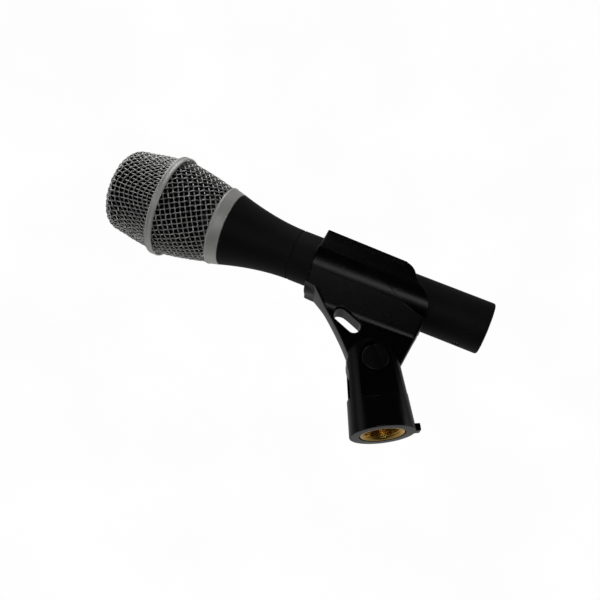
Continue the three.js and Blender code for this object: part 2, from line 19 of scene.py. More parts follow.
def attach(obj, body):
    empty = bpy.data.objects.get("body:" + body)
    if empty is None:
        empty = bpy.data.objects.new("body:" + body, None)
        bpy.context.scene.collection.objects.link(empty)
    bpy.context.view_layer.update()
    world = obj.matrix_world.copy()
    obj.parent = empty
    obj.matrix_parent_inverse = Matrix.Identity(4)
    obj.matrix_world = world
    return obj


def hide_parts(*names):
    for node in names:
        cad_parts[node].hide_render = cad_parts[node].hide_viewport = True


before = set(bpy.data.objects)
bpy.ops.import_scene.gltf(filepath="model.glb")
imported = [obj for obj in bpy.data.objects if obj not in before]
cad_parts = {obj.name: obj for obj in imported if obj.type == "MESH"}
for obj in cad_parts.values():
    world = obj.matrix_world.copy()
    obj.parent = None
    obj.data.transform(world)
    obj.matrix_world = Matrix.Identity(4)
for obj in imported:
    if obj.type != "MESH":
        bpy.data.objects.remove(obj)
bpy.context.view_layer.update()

MM = 0.001
CREASE = 32.0
MOST_ROUNDING = 0.48
DOUBLE_DISTANCE = 2e-7
PIVOT_HOLE = 2.6
LOG = logging.getLogger("microphone")

Colour = tuple[float, float, float]
Point2 = tuple[float, float]
Term = Any


# ---------------------------------------------------------------- choices
class Axis(Enum):
    """The axis a turned piece is turned round."""

    X = 0
    Y = 1
    Z = 2


class Combine(Enum):
    """How a tool changes the piece it is applied to."""

    JOIN = "UNION"
    CUT = "DIFFERENCE"
    KEEP = "INTERSECT"


class Body(Enum):
    """The moving bodies that pieces ride on."""

    BASE = "base"
    SCREW = "pivot_screw"
    HOLDER = "holder"
    FRONT_HANDLE = "front_handle"
    MICROPHONE = "microphone"
    GRILLE_RING = "grille_ring"
    GRILLE = "grille"


class Slot(Enum):
    """Material slots of the record."""

    MESH_STEEL = "mesh_steel"
    MATTE_SILVER = "matte_silver"
    HANDLE_BLACK = "handle_black"
    CLIP_PLASTIC = "clip_plastic"
    INSERT_BRASS = "insert_brass"
    BLACK_STEEL = "black_steel"
    NICKEL = "nickel"
    INSULATOR = "insulator"


# ---------------------------------------------------------------- placement
@dataclass(frozen=True)
class Stance:
    """Where the microphone and the holder stand about the pivot."""

    tilt: float = math.radians(29)
    pivot_height: float = 30.4
    axis_above_pivot: float = 37.2
    nose_to_pivot: float = 145.0

    def base(self) -> Matrix:
        """The base's own frame, which is the row's."""
        return Matrix.Identity(4)

    def holder(self) -> Matrix:
        """The holder's frame: origin at the pivot, tilted with the microphone."""
        lift = Matrix.Translation(Vector((0, 0, self.pivot_height)) * MM)
        return lift @ Matrix.Rotation(self.tilt, 4, "Y")

    def microphone(self) -> Matrix:
        """The microphone's frame: origin at the nose, X along the axis."""
        shift = Vector((-self.nose_to_pivot, 0, self.axis_above_pivot)) * MM
        return self.holder() @ Matrix.Translation(shift)


STANCE = Stance()


def moved(place: Matrix, x: float, y: float, z: float) -> Matrix:
    """A frame moved by millimetres along its own axes."""
    return place @ Matrix.Translation(Vector((x, y, z)) * MM)


# ---------------------------------------------------------------- outlines
def rounded(corners: Sequence[tuple[float, float, float]], steps: int = 5) -> list[Point2]:
    """Round the corners of an open profile.

    Args:
        corners: Points as (along, out, rounding); a rounding of 0 keeps the corner sharp.
        steps: Points added round each rounded corner.

    Returns:
        The profile's points.
    """
    points: list[Point2] = []
    for index, (x, y, radius) in enumerate(corners):
        here = np.array((x, y))
        if radius <= 0 or index in (0, len(corners) - 1):
            points.append((x, y))
            continue
        before = np.array(corners[index - 1][:2]) - here
        after = np.array(corners[index + 1][:2]) - here
        start = here + before * min(radius / np.linalg.norm(before), MOST_ROUNDING)
        end = here + after * min(radius / np.linalg.norm(after), MOST_ROUNDING)
        for t in np.linspace(0, 1, steps):
            point = start * (1 - t) ** 2 + here * 2 * t * (1 - t) + end * t ** 2
            points.append((float(point[0]), float(point[1])))
    return points


def arc(centre: Point2, radius: float, start: float, end: float, steps: int) -> list[Point2]:
    """Points along an arc.

    Args:
        centre: The arc's centre.
        radius: Its radius.
        start: First angle in degrees.
        end: Last angle in degrees.
        steps: Number of points.

    Returns:
        The points from start to end.
    """
    angles = np.radians(np.linspace(start, end, steps))
    return [(centre[0] + radius * math.cos(a), centre[1] + radius * math.sin(a)) for a in angles]


def bezier(points: Sequence[Point2], steps: int) -> np.ndarray:
    """Points on a Bezier curve of any degree.

    Args:
        points: Its control points.
        steps: Number of points wanted.

    Returns:
        An array of shape (steps, 2).
    """
    degree = len(points) - 1
    t = np.linspace(0, 1, steps)[:, None]
    total = np.zeros((steps, 2))
    for k, point in enumerate(points):
        total += math.comb(degree, k) * t ** k * (1 - t) ** (degree - k) * np.array(point)
    return total


# ---------------------------------------------------------------- meshes
class Surface:
    """Collects points and faces, in millimetres, and turns them into a piece."""

    def __init__(self) -> None:
        """Start with nothing."""
        self.points: list[np.ndarray] = []
        self.faces: list[list[int]] = []
        self.count = 0

    def grid(self, rows: np.ndarray, wrap_rows: bool = False, caps: bool = False) -> "Surface":
        """Add rings of points joined row to row; each ring is closed on itself.

        Args:
            rows: Points of shape (rows, points per ring, 3).
            wrap_rows: Join the last ring to the first.
            caps: Close the first and last ring with a face each.

        Returns:
            This surface.
        """
        count, around = rows.shape[:2]
        index = self.count + np.arange(count * around).reshape(count, around)
        low = index if wrap_rows else index[:-1]
        high = np.roll(index, -1, axis=0) if wrap_rows else index[1:]
        quads = np.stack((low, np.roll(low, -1, 1), np.roll(high, -1, 1), high), axis=-1)
        self.faces.extend(quads.reshape(-1, 4).tolist())
        if caps:
            self.faces.append(index[0][::-1].tolist())
            self.faces.append(index[-1].tolist())
        self.points.append(rows.reshape(-1, 3))
        self.count += count * around
        return self

    def piece(self, name: str, place: Matrix, crease: float = CREASE) -> bpy.types.Object:
        """Make the Blender object.

        Args:
            name: The piece's name.
            place: Its own frame in the row.
            crease: Angle in degrees above which an edge stays sharp.

        Returns:
            The new object, linked to the scene.
        """
        mesh = bpy.data.meshes.new(name)
        mesh.from_pydata((np.concatenate(self.points) * MM).tolist(), [], self.faces)
        tidy(mesh, crease)
        piece = bpy.data.objects.new(name, mesh)
        bpy.context.scene.collection.objects.link(piece)
        piece.matrix_world = place
        return piece


def tidy(mesh: bpy.types.Mesh, crease: float) -> None:
    """Merge doubled points, point the faces outwards and smooth the shading.

    Args:
        mesh: The mesh to tidy in place.
        crease: Angle in degrees above which an edge stays sharp.
    """
    work = bmesh.new()
    work.from_mesh(mesh)
    bmesh.ops.remove_doubles(work, verts=work.verts, dist=DOUBLE_DISTANCE)
    bmesh.ops.recalc_face_normals(work, faces=work.faces)
    work.to_mesh(mesh)
    work.free()
    mesh.shade_smooth()
    mesh.set_sharp_from_angle(angle=math.radians(crease))


def turned(profile: Sequence[Point2], axis: Axis = Axis.X, segments: int = 160,
           closed: bool = False) -> Surface:
    """A profile of (along, radius) points turned round an axis.

    Args:
        profile: The profile; an open one starts and ends on the axis.
        axis: The axis to turn round.
        segments: Steps round it.
        closed: The profile closes on itself.

    Returns:
        The turned surface.
    """
    along = np.array([p[0] for p in profile])[:, None]
    radius = np.array([p[1] for p in profile])[:, None]
    angle = np.linspace(0, 2 * math.pi, segments, endpoint=False)[None, :]
    return Surface().grid(round_axis(along + 0 * angle, radius + 0 * angle, angle + 0 * radius, axis),
                          wrap_rows=closed)


def round_axis(along: np.ndarray, radius: np.ndarray, angle: np.ndarray, axis: Axis) -> np.ndarray:
    """Turn (along, radius, angle) into points.

    Args:
        along: Distance along the axis.
        radius: Distance from it.
        angle: Angle round it in radians.
        axis: The axis.

    Returns:
        Points with a last dimension of 3.
    """
    first, second = radius * np.cos(angle), radius * np.sin(angle)
    order = {Axis.X: (along, first, second), Axis.Y: (first, along, second),
             Axis.Z: (first, second, along)}
    return np.stack(order[axis], axis=-1)


def rod(start: float, end: float, radius: float, axis: Axis, segments: int) -> Surface:
    """A plain round rod on an axis.

    Args:
        start: Where it starts along the axis.
        end: Where it ends.
        radius: Its radius.
        axis: The axis.
        segments: Steps round it.

    Returns:
        The rod's surface.
    """
    return turned([(start, 0), (start, radius), (end, radius), (end, 0)], axis, segments)


def plate(outline: Sequence[Point2], levels: Sequence[float]) -> Surface:
    """An outline in X and Z given thickness along Y.

    Args:
        outline: The closed outline.
        levels: The Y of each copy of it, in order.

    Returns:
        The plate's surface.
    """
    flat = np.array(outline)
    rows = [np.stack((flat[:, 0], np.full(len(flat), y), flat[:, 1]), axis=-1) for y in levels]
    return Surface().grid(np.array(rows), caps=True)


def block(low: Sequence[float], high: Sequence[float], edge: float = 0.0) -> Surface:
    """A rectangular block with softened upright edges.

    Args:
        low: Its lowest corner.
        high: Its highest corner.
        edge: Rounding of the four edges along Y.

    Returns:
        The block's surface.
    """
    (x0, y0, z0), (x1, y1, z1) = low, high
    middle = ((x0 + x1) / 2, z0)
    corners = [(*middle, 0), (x1, z0, edge), (x1, z1, edge), (x0, z1, edge), (x0, z0, edge),
               (*middle, 0)]
    return plate(rounded(corners)[:-1], (y0, y1))


def combine(piece: bpy.types.Object, tool: bpy.types.Object, how: Combine,
            crease: float = CREASE) -> None:
    """Join a tool to a piece or cut the piece with it; the tool is used up.

    Args:
        piece: The piece that changes.
        tool: The tool.
        how: What to do with it.
        crease: Angle in degrees above which an edge stays sharp.
    """
    step = piece.modifiers.new("combine", "BOOLEAN")
    step.operation = how.value
    step.object = tool
    step.solver = "MANIFOLD"
    bpy.context.view_layer.update()
    settled = piece.evaluated_get(bpy.context.evaluated_depsgraph_get())
    before = piece.data
    piece.modifiers.clear()
    piece.data = bpy.data.meshes.new_from_object(settled)
    bpy.data.meshes.remove(before)
    bpy.data.objects.remove(tool)
    tidy(piece.data, crease)


# ---------------------------------------------------------------- shader maths
class Value:
    """A number in a node graph, so that masks are written as formulas."""

    def __init__(self, graph: "Nodes", socket: bpy.types.NodeSocket) -> None:
        """Wrap an output socket of a graph."""
        self.graph = graph
        self.socket = socket

    def _math(self, operation: str, first: Term, second: Term) -> "Value":
        """Add one Math node and wrap its result."""
        made = self.graph.node("ShaderNodeMath", {"operation": operation}, {0: first, 1: second})
        return Value(self.graph, made.outputs[0])

    def __add__(self, other: Term) -> "Value":
        """Sum."""
        return self._math("ADD", self, other)

    def __radd__(self, other: Term) -> "Value":
        """Sum, reflected."""
        return self._math("ADD", other, self)

    def __sub__(self, other: Term) -> "Value":
        """Difference."""
        return self._math("SUBTRACT", self, other)

    def __rsub__(self, other: Term) -> "Value":
        """Difference, reflected."""
        return self._math("SUBTRACT", other, self)

    def __mul__(self, other: Term) -> "Value":
        """Product."""
        return self._math("MULTIPLY", self, other)

    def __rmul__(self, other: Term) -> "Value":
        """Product, reflected."""
        return self._math("MULTIPLY", other, self)

    def wave(self, frequency: float) -> "Value":
        """A sine of this value, between -1 and 1."""
        return self._math("SINE", self * frequency, 0.0)

    def between(self, low: float, high: float) -> "Value":
        """Ease from 0 at low to 1 at high.

        Args:
            low: Where the result leaves 0.
            high: Where it reaches 1.

        Returns:
            The eased value.
        """
        made = self.graph.node("ShaderNodeMapRange", {"interpolation_type": "SMOOTHSTEP"},
                               {0: self, 1: low, 2: high, 3: 0.0, 4: 1.0})
        return Value(self.graph, made.outputs[0])


class Nodes:
    """A node tree under construction."""

    def __init__(self, tree: bpy.types.NodeTree) -> None:
        """Work on a tree."""
        self.tree = tree

    def node(self, kind: str, settings: dict[str, Any] | None = None,
             inputs: dict[Any, Term] | None = None) -> bpy.types.Node:
        """Add any node.

        Args:
            kind: The node's type.
            settings: Its settings, set first.
            inputs: Its sockets' values or links, by name or number.

        Returns:
            The new node.
        """
        made = self.tree.nodes.new(kind)
        for key, setting in (settings or {}).items():
            setattr(made, key, setting)
        for key, term in (inputs or {}).items():
            self.feed(made.inputs[key], term)
        return made

    def feed(self, socket: bpy.types.NodeSocket, term: Term) -> None:
        """Set a socket's value, or link it.

        Args:
            socket: The input socket.
            term: A number, colour, vector, socket or Value.
        """
        source = term.socket if isinstance(term, Value) else term
        if isinstance(source, bpy.types.NodeSocket):
            self.tree.links.new(source, socket)
        else:
            socket.default_value = source


class Graph(Nodes):
    """A material under construction round one principled shader."""

    def __init__(self, name: str) -> None:
        """Start a material of this name with its shader and output."""
        self.material = bpy.data.materials.new(name)
        self.material.use_nodes = True
        super().__init__(self.material.node_tree)
        self.tree.nodes.clear()
        self.shader = self.node("ShaderNodeBsdfPrincipled")
        self.node("ShaderNodeOutputMaterial", None, {0: self.shader.outputs[0]})
        self.place = self.node("ShaderNodeTexCoord").outputs["Object"]

    def set(self, **inputs: Term) -> None:
        """Set the shader's sockets; an underscore in a name stands for a space."""
        for key, term in inputs.items():
            self.feed(self.shader.inputs[key.replace("_", " ")], term)

    def noise(self, scale: float, detail: float = 2.0, stretch: Colour | None = None) -> Value:
        """Smooth noise.

        Args:
            scale: Features per metre.
            detail: Octaves of finer noise.
            stretch: Factors on X, Y and Z, for streaks.

        Returns:
            The noise, about 0 to 1.
        """
        place = self.place
        if stretch:
            scaled = self.node("ShaderNodeVectorMath", {"operation": "MULTIPLY"}, {0: place, 1: stretch})
            place = scaled.outputs[0]
        made = self.node("ShaderNodeTexNoise", None, {"Vector": place, "Scale": scale, "Detail": detail})
        return Value(self, made.outputs[0])

    def cells(self, scale: float) -> Value:
        """Distance to the nearest of many scattered points, in cells."""
        made = self.node("ShaderNodeTexVoronoi", None, {"Vector": self.place, "Scale": scale})
        return Value(self, made.outputs["Distance"])

    def mix(self, factor: Term, first: Term, second: Term) -> bpy.types.NodeSocket:
        """Blend two colours.

        Args:
            factor: 0 for the first, 1 for the second.
            first: A colour or colour socket.
            second: A colour or colour socket.

        Returns:
            The blended colour's socket.
        """
        def full(term: Term) -> Term:
            """Give a plain colour its alpha."""
            return (*term, 1.0) if isinstance(term, tuple) else term
        made = self.node("ShaderNodeMix", {"data_type": "RGBA"},
                         {0: factor, 6: full(first), 7: full(second)})
        return made.outputs[2]

    def relief(self, height: Value, depth: float, edge: float = 0.0) -> None:
        """Give the surface a fine relief, over softened edges.

        Args:
            height: The relief's height, 0 to 1.
            depth: Depth in millimetres of a height of 1.
            edge: Radius in millimetres that edges are softened to.
        """
        inputs: dict[str, Term] = {"Height": height, "Distance": depth * MM, "Strength": 1.0}
        if edge > 0:
            soft = self.node("ShaderNodeBevel", {"samples": 6}, {"Radius": edge * MM})
            inputs["Normal"] = soft.outputs[0]
        self.set(Normal=self.node("ShaderNodeBump", None, inputs).outputs[0])


# ---------------------------------------------------------------- finishes
@dataclass(frozen=True)
class Finish:
    """A plain finish: a colour that drifts a little, a roughness that drifts, a fine grain."""

    name: str
    dark: Colour
    light: Colour
    roughness: float
    metallic: float = 0.0
    patch: float = 60.0
    grain: float = 3500.0
    grain_depth: float = 0.02
    edge: float = 0.0
    drift: float = 0.08
    specular: float = 0.5

    def material(self) -> bpy.types.Material:
        """Build the material."""
        graph = Graph(self.name)
        self.dress(graph)
        return graph.material

    def dress(self, graph: Graph) -> None:
        """Set the shader up.

        Args:
            graph: The material's graph.
        """
        patches = graph.noise(self.patch, 4.0)
        grain = graph.noise(self.grain, 2.0)
        tone = (patches * 0.7 + grain * 0.3).between(0.3, 0.7)
        rough = self.roughness - self.drift / 2 + patches * self.drift
        graph.set(Base_Color=graph.mix(tone, self.dark, self.light), Roughness=rough,
                  Metallic=self.metallic)
        graph.shader.inputs["Specular IOR Level"].default_value = self.specular
        graph.relief(grain, self.grain_depth, self.edge)


@dataclass(frozen=True)
class TurnedMetal(Finish):
    """Metal with fine tool marks round its axis."""

    marks: Colour = (1.0, 0.02, 0.02)
    mark_scale: float = 4000.0
    mark_depth: float = 0.012

    def dress(self, graph: Graph) -> None:
        """Add the tool marks to the plain finish.

        Args:
            graph: The material's graph.
        """
        patches = graph.noise(self.patch, 3.0)
        lines = graph.noise(self.mark_scale, 1.0, self.marks)
        tone = (patches * 0.6 + lines * 0.4).between(0.3, 0.7)
        rough = self.roughness - self.drift / 2 + lines * self.drift
        graph.set(Base_Color=graph.mix(tone, self.dark, self.light), Roughness=rough,
                  Metallic=self.metallic)
        graph.relief(lines + graph.noise(self.grain) * 0.4, self.mark_depth, self.edge)


@dataclass(frozen=True)
class Porous(Finish):
    """Open-cell foam."""

    def dress(self, graph: Graph) -> None:
        """Deep cells, coloured darker towards their bottoms as painted shade.

        Args:
            graph: The material's graph.
        """
        cells = graph.cells(self.grain)
        # painted shade: the colour darkens towards each cell's bottom, where the relief is deepest
        graph.set(Base_Color=graph.mix(cells.between(0.15, 0.6), self.dark, self.light), Roughness=1.0)
        graph.shader.inputs["Specular IOR Level"].default_value = 0.1
        graph.relief(cells, self.grain_depth)


@dataclass(frozen=True)
class PrintedBoard(Finish):
    """Solder mask over copper traces, with tinned pads."""

    trace: Colour = (0.10, 0.22, 0.09)
    pad: Colour = (0.62, 0.60, 0.55)

    def dress(self, graph: Graph) -> None:
        """Traces from banded noise, pads from cell centres.

        Args:
            graph: The material's graph.
        """
        bands = graph.noise(90.0, 0.0).wave(60.0).between(0.55, 0.7)
        pads = 1 - graph.cells(260.0).between(0.16, 0.2)
        mask = graph.mix(bands, self.dark, self.trace)
        graph.set(Base_Color=graph.mix(pads, mask, self.pad), Roughness=0.38 + graph.noise(400.0) * 0.15,
                  Metallic=pads * 0.9)
        graph.relief(bands * 0.5 + pads, 0.04)


@dataclass(frozen=True)
class Sleeved(Finish):
    """A shrink sleeve with a pale stripe down one side."""

    stripe: Colour = (0.55, 0.57, 0.60)

    def dress(self, graph: Graph) -> None:
        """A stripe where the surface faces one way.

        Args:
            graph: The material's graph.
        """
        normal = graph.node("ShaderNodeTexCoord").outputs["Normal"]
        facing = graph.node("ShaderNodeSeparateXYZ", None, {0: normal}).outputs[1]
        stripe = Value(graph, facing).between(0.80, 0.84)
        patches = graph.noise(self.patch, 3.0)
        graph.set(Base_Color=graph.mix(stripe, graph.mix(patches, self.dark, self.light), self.stripe),
                  Roughness=self.roughness + patches * self.drift)
        graph.relief(graph.noise(self.grain), self.grain_depth)


WOVEN_STEEL = Finish("woven_steel", (0.62, 0.62, 0.61), (0.78, 0.78, 0.77), 0.38, 1.0, patch=500.0,
                     grain=6000.0, grain_depth=0.006, drift=0.18)
BLASTED_SILVER = Finish("blasted_silver", (0.84, 0.835, 0.805), (0.93, 0.925, 0.905), 0.55, 0.5,
                        patch=140.0, grain=5200.0, grain_depth=0.02, edge=0.15)
HANDLE_COAT = Finish("handle_coat", (0.011, 0.011, 0.011), (0.015, 0.015, 0.015), 0.58, 0.0, patch=45.0,
                     grain=3800.0, grain_depth=0.03, edge=0.15, specular=0.15)
SATIN_PLASTIC = Finish("satin_plastic", (0.0012, 0.0012, 0.0016), (0.0024, 0.0024, 0.003), 0.27, 0.0,
                       patch=70.0, grain=1700.0, grain_depth=0.018, edge=0.22, drift=0.10, specular=0.2)
BRASS = TurnedMetal("machined_brass", (0.60, 0.35, 0.07), (0.80, 0.51, 0.13), 0.26, 1.0, patch=180.0,
                    marks=(0.02, 0.02, 1.0))
TURNED_BRASS = TurnedMetal("turned_brass", (0.60, 0.35, 0.07), (0.80, 0.51, 0.13), 0.26, 1.0, patch=180.0)
BLACK_STEEL = Finish("blackened_steel", (0.005, 0.005, 0.006), (0.010, 0.010, 0.011), 0.38, 0.6,
                     patch=260.0, grain=4200.0, grain_depth=0.012, edge=0.12)
NICKEL = TurnedMetal("nickel_plate", (0.52, 0.50, 0.46), (0.66, 0.64, 0.60), 0.24, 1.0, patch=160.0)
# the foam's dark colour is painted shade at the cell bottoms
FOAM = Porous("windscreen_foam", (0.0006, 0.0006, 0.0006), (0.004, 0.004, 0.004), 1.0, grain=1500.0,
              grain_depth=0.5)
RUBBER = Finish("soft_rubber", (0.006, 0.006, 0.006), (0.016, 0.015, 0.015), 0.82, grain=2500.0,
                grain_depth=0.05)
INSULATOR = Finish("moulded_insulator", (0.012, 0.012, 0.015), (0.024, 0.024, 0.028), 0.45, grain=2800.0,
                   grain_depth=0.015, edge=0.15)
AMBER = Finish("amber_plastic", (0.52, 0.44, 0.27), (0.64, 0.57, 0.40), 0.42, grain=1800.0)
GOLD_FILM = Finish("gold_film", (0.72, 0.48, 0.16), (0.86, 0.63, 0.28), 0.18, 1.0, patch=300.0,
                   grain=700.0, grain_depth=0.03)
BOARD = PrintedBoard("printed_board", (0.012, 0.085, 0.040), (0.02, 0.12, 0.05), 0.4)
CAN_SLEEVE = Sleeved("can_sleeve", (0.012, 0.028, 0.085), (0.020, 0.042, 0.12), 0.34, grain=900.0)
RED_JACKET = Finish("red_jacket", (0.22, 0.010, 0.008), (0.34, 0.020, 0.015), 0.5, grain=1500.0)
WHITE_JACKET = Finish("white_jacket", (0.55, 0.53, 0.48), (0.68, 0.66, 0.62), 0.5, grain=1500.0)
BLACK_JACKET = Finish("black_jacket", (0.008, 0.008, 0.009), (0.018, 0.018, 0.02), 0.5, grain=1500.0)


class Workshop:
    """Makes each material once and fits pieces to their bodies."""

    def __init__(self) -> None:
        """Start with an empty rack of materials."""
        self.rack: dict[str, bpy.types.Material] = {}

    def material(self, finish: Finish) -> bpy.types.Material:
        """The material of a finish, made the first time it is asked for."""
        if finish.name not in self.rack:
            self.rack[finish.name] = finish.material()
        return self.rack[finish.name]

    def fit(self, piece: bpy.types.Object, body: Body, slot: Slot, finish: Finish, *nodes: str) -> None:
        """Dress a piece, ride it on its body and let it stand for CAD nodes.

        Args:
            piece: The piece.
            body: The body that it rides on.
            slot: The record's slot for the piece; not used.
            finish: Its finish.
            *nodes: The CAD nodes that it replaces.
        """
        piece.data.transform(piece.matrix_world)
        piece.matrix_world = Matrix.Identity(4)
        piece.data.materials.clear()
        piece.data.materials.append(self.material(finish))
        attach(piece, body.value)
        if nodes:
            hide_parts(*nodes)
        LOG.info("%s: %d faces, rides on %s", piece.name, len(piece.data.polygons), body.value)


@dataclass
class Assembly:
    """A sub-assembly, built with a workshop's materials."""

    workshop: Workshop

    def dress(self, finish: Finish, *nodes: str) -> None:
        """Give carried-over CAD nodes a finish.

        Args:
            finish: The finish.
            *nodes: The nodes' names.
        """
        for node in nodes:
            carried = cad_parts[node]
            carried.data.materials.clear()
            carried.data.materials.append(self.workshop.material(finish))
            LOG.info("%s: carried over in %s", node, finish.name)


# ---------------------------------------------------------------- woven grille
@dataclass
class WovenShell:
    """Square-woven wire cloth drawn over a turned form.

    The cloth starts flat at the form's pole. Further out it is gathered: along four lines its
    cells stay square, and between them they shear into diamonds drawn out away from the pole.
    """

    outline: Sequence[Point2]
    limits: Point2
    turn: float
    gather: float = 0.0
    most_gather: float = 0.38
    pitch: float = 2.5
    wire: float = 0.285
    sides: int = 8
    steps: int = 120

    def __post_init__(self) -> None:
        """Measure the outline, and where along it the shell's first and last X fall."""
        self.line = np.array(self.outline)
        spans = np.linalg.norm(np.diff(self.line, axis=0), axis=1)
        self.reach = np.concatenate(((0.0,), np.cumsum(spans)))
        order = slice(None, None, -1 if self.line[0, 0] > self.line[-1, 0] else 1)
        self.first, self.last = np.interp(self.limits, self.line[order, 0], self.reach[order])

    def place(self, along: np.ndarray, angle: np.ndarray) -> np.ndarray:
        """Points on the form.

        Args:
            along: Distance from the pole over the surface.
            angle: Angle round the axis.

        Returns:
            The points.
        """
        x = np.interp(along, self.reach, self.line[:, 0])
        radius = np.interp(along, self.reach, self.line[:, 1])
        return np.stack((x, radius * np.cos(angle), radius * np.sin(angle)), axis=-1)

    def tangent(self, along: np.ndarray, angle: np.ndarray) -> np.ndarray:
        """Unit direction away from the pole at points on the form.

        Args:
            along: Distance from the pole over the surface.
            angle: Angle round the axis.

        Returns:
            The directions.
        """
        near = 0.6
        along = np.clip(along, 0.0, self.reach[-1] - near)
        step = self.place(along + near, angle) - self.place(np.maximum(along - near, 0), angle)
        return step / np.linalg.norm(step, axis=-1, keepdims=True)

    def spread(self) -> tuple[np.ndarray, np.ndarray, np.ndarray]:
        """Spread the crossings over the form.

        Returns:
            Distance from the pole, angle, and whether each crossing is used.
        """
        count = int(self.reach[-1] / self.pitch) + 1
        steps = (np.arange(-count, count + 1) + 0.37) * self.pitch
        u, v = np.meshgrid(steps, steps, indexing="ij")
        flat, angle = np.hypot(u, v), np.arctan2(v, u)
        between = (1 - np.cos(4 * angle)) / 2
        along, gather = np.zeros_like(flat), np.zeros_like(flat)
        for step in range(self.steps):
            radius = np.maximum(np.interp(along, self.reach, self.line[:, 1]), 0.01)
            out = np.maximum(flat * (step + 1) / self.steps, 0.01)
            gather = np.clip(self.gather * (out / radius - 1), 0, self.most_gather)
            squeeze = np.clip(radius / out, 0, 1) * (1 - gather)
            along += (1 + (np.sqrt(2 - squeeze ** 2) - 1) * between) * flat / self.steps
        return along, angle + gather * np.sin(4 * angle) / 4, along < self.reach[-1] - 0.7

    def surface(self) -> Surface:
        """Weave the wires.

        Returns:
            Every wire as a closed tube.
        """
        along, angle, used = self.spread()
        cloth = Surface()
        size = along.shape[0]
        for way in (1, -1):
            for row in range(size):
                pick = (row, slice(None)) if way == 1 else (slice(None), row)
                wire = self.wire_path(along[pick], angle[pick], used[pick], way * (-1) ** row)
                for run in wire:
                    cloth.grid(run, caps=True)
        return cloth

    def wire_path(self, along: np.ndarray, angle: np.ndarray, used: np.ndarray,
                  sign: int) -> Iterable[np.ndarray]:
        """The tubes of one wire, cut to the shell's limits.

        Args:
            along: Distance of its crossings from the pole.
            angle: Their angles.
            used: Whether each is used.
            sign: 1 or -1, which side it passes its first crossing on.

        Yields:
            Rings of points of each tube.
        """
        index = np.nonzero(used)[0]
        if len(index) < 4:
            return
        index = np.arange(index[0], index[-1] + 1)
        fine = np.linspace(index[0], index[-1], (index[-1] - index[0]) * 5 + 1)
        knots = self.place(along[index], angle[index])
        path = smooth_path(knots, fine - index[0])
        x, theta = path[:, 0], np.arctan2(path[:, 2], path[:, 1])
        reach = smooth_path(along[index][:, None], fine - index[0])[:, 0]
        height = sign * np.cos(math.pi * (fine - (len(used) // 2))) * (self.wire * 0.9)
        theta = theta + self.turn
        core = self.place(reach, theta)
        outward = self.tangent(reach, theta)
        sideways = np.stack((0 * theta, -np.sin(theta), np.cos(theta)), axis=-1)
        normal = np.cross(outward, sideways)
        core = core + normal * height[:, None]
        inside = (reach >= self.first) & (reach <= self.last)
        edges = np.nonzero(np.diff(np.concatenate(((0,), inside.astype(int), (0,)))))[0].reshape(-1, 2)
        for start, stop in edges:
            if stop - start > 3:
                yield tube(core[start:stop], normal[start:stop], self.wire, self.sides)


@dataclass
class RolledShell(WovenShell):
    """Square-woven wire cloth rolled into a flaring tube, so that its cells stay square all round."""

    lean: float = math.radians(28)

    def spread(self) -> tuple[np.ndarray, np.ndarray, np.ndarray]:
        """Lay the crossings out on the unrolled tube.

        Returns:
            Distance from the small end, angle, and whether each crossing is used.
        """
        small, large = self.line[0, 1], self.line[-1, 1]
        flare = (large - small) / self.reach[-1]
        start = small / flare
        count = int((start + self.reach[-1]) / self.pitch) + 2
        steps = (np.arange(-count, count + 1) + 0.37) * self.pitch
        u, v = np.meshgrid(steps, steps, indexing="ij")
        x = u * math.cos(self.lean) - v * math.sin(self.lean)
        y = u * math.sin(self.lean) + v * math.cos(self.lean)
        along, turned_by = np.hypot(x, y) - start, np.arctan2(y, x)
        seam = math.pi * flare + 0.4 * self.pitch / start
        used = (along > -self.pitch) & (along < self.reach[-1] + self.pitch)
        return along, turned_by / flare, used & (np.abs(turned_by) < seam)


def smooth_path(knots: np.ndarray, places: np.ndarray) -> np.ndarray:
    """A Catmull-Rom curve through knots.

    Args:
        knots: The knots, shape (n, d).
        places: Where to read it, 0 at the first knot and n - 1 at the last.

    Returns:
        The curve's points.
    """
    last = len(knots) - 1
    step = np.clip(np.floor(places).astype(int), 0, last - 1)
    t = (places - step)[:, None]
    before, here = knots[np.maximum(step - 1, 0)], knots[step]
    there, after = knots[step + 1], knots[np.minimum(step + 2, last)]
    return 0.5 * (2 * here + (there - before) * t + (2 * before - 5 * here + 4 * there - after) * t ** 2
                  + (3 * here - before - 3 * there + after) * t ** 3)


def tube(core: np.ndarray, normal: np.ndarray, radius: float, sides: int) -> np.ndarray:
    """Rings round a path.

    Args:
        core: The path's points.
        normal: A direction across the path at each.
        radius: The tube's radius.
        sides: Points in each ring.

    Returns:
        Points of shape (path, sides, 3).
    """
    heading = np.gradient(core, axis=0)
    heading /= np.linalg.norm(heading, axis=1, keepdims=True)
    across = np.cross(heading, normal)
    across /= np.linalg.norm(across, axis=1, keepdims=True)
    upright = np.cross(across, heading)
    angle = np.linspace(0, 2 * math.pi, sides, endpoint=False)[None, :, None]
    ring = np.cos(angle) * upright[:, None] + np.sin(angle) * across[:, None]
    return core[:, None] + radius * ring


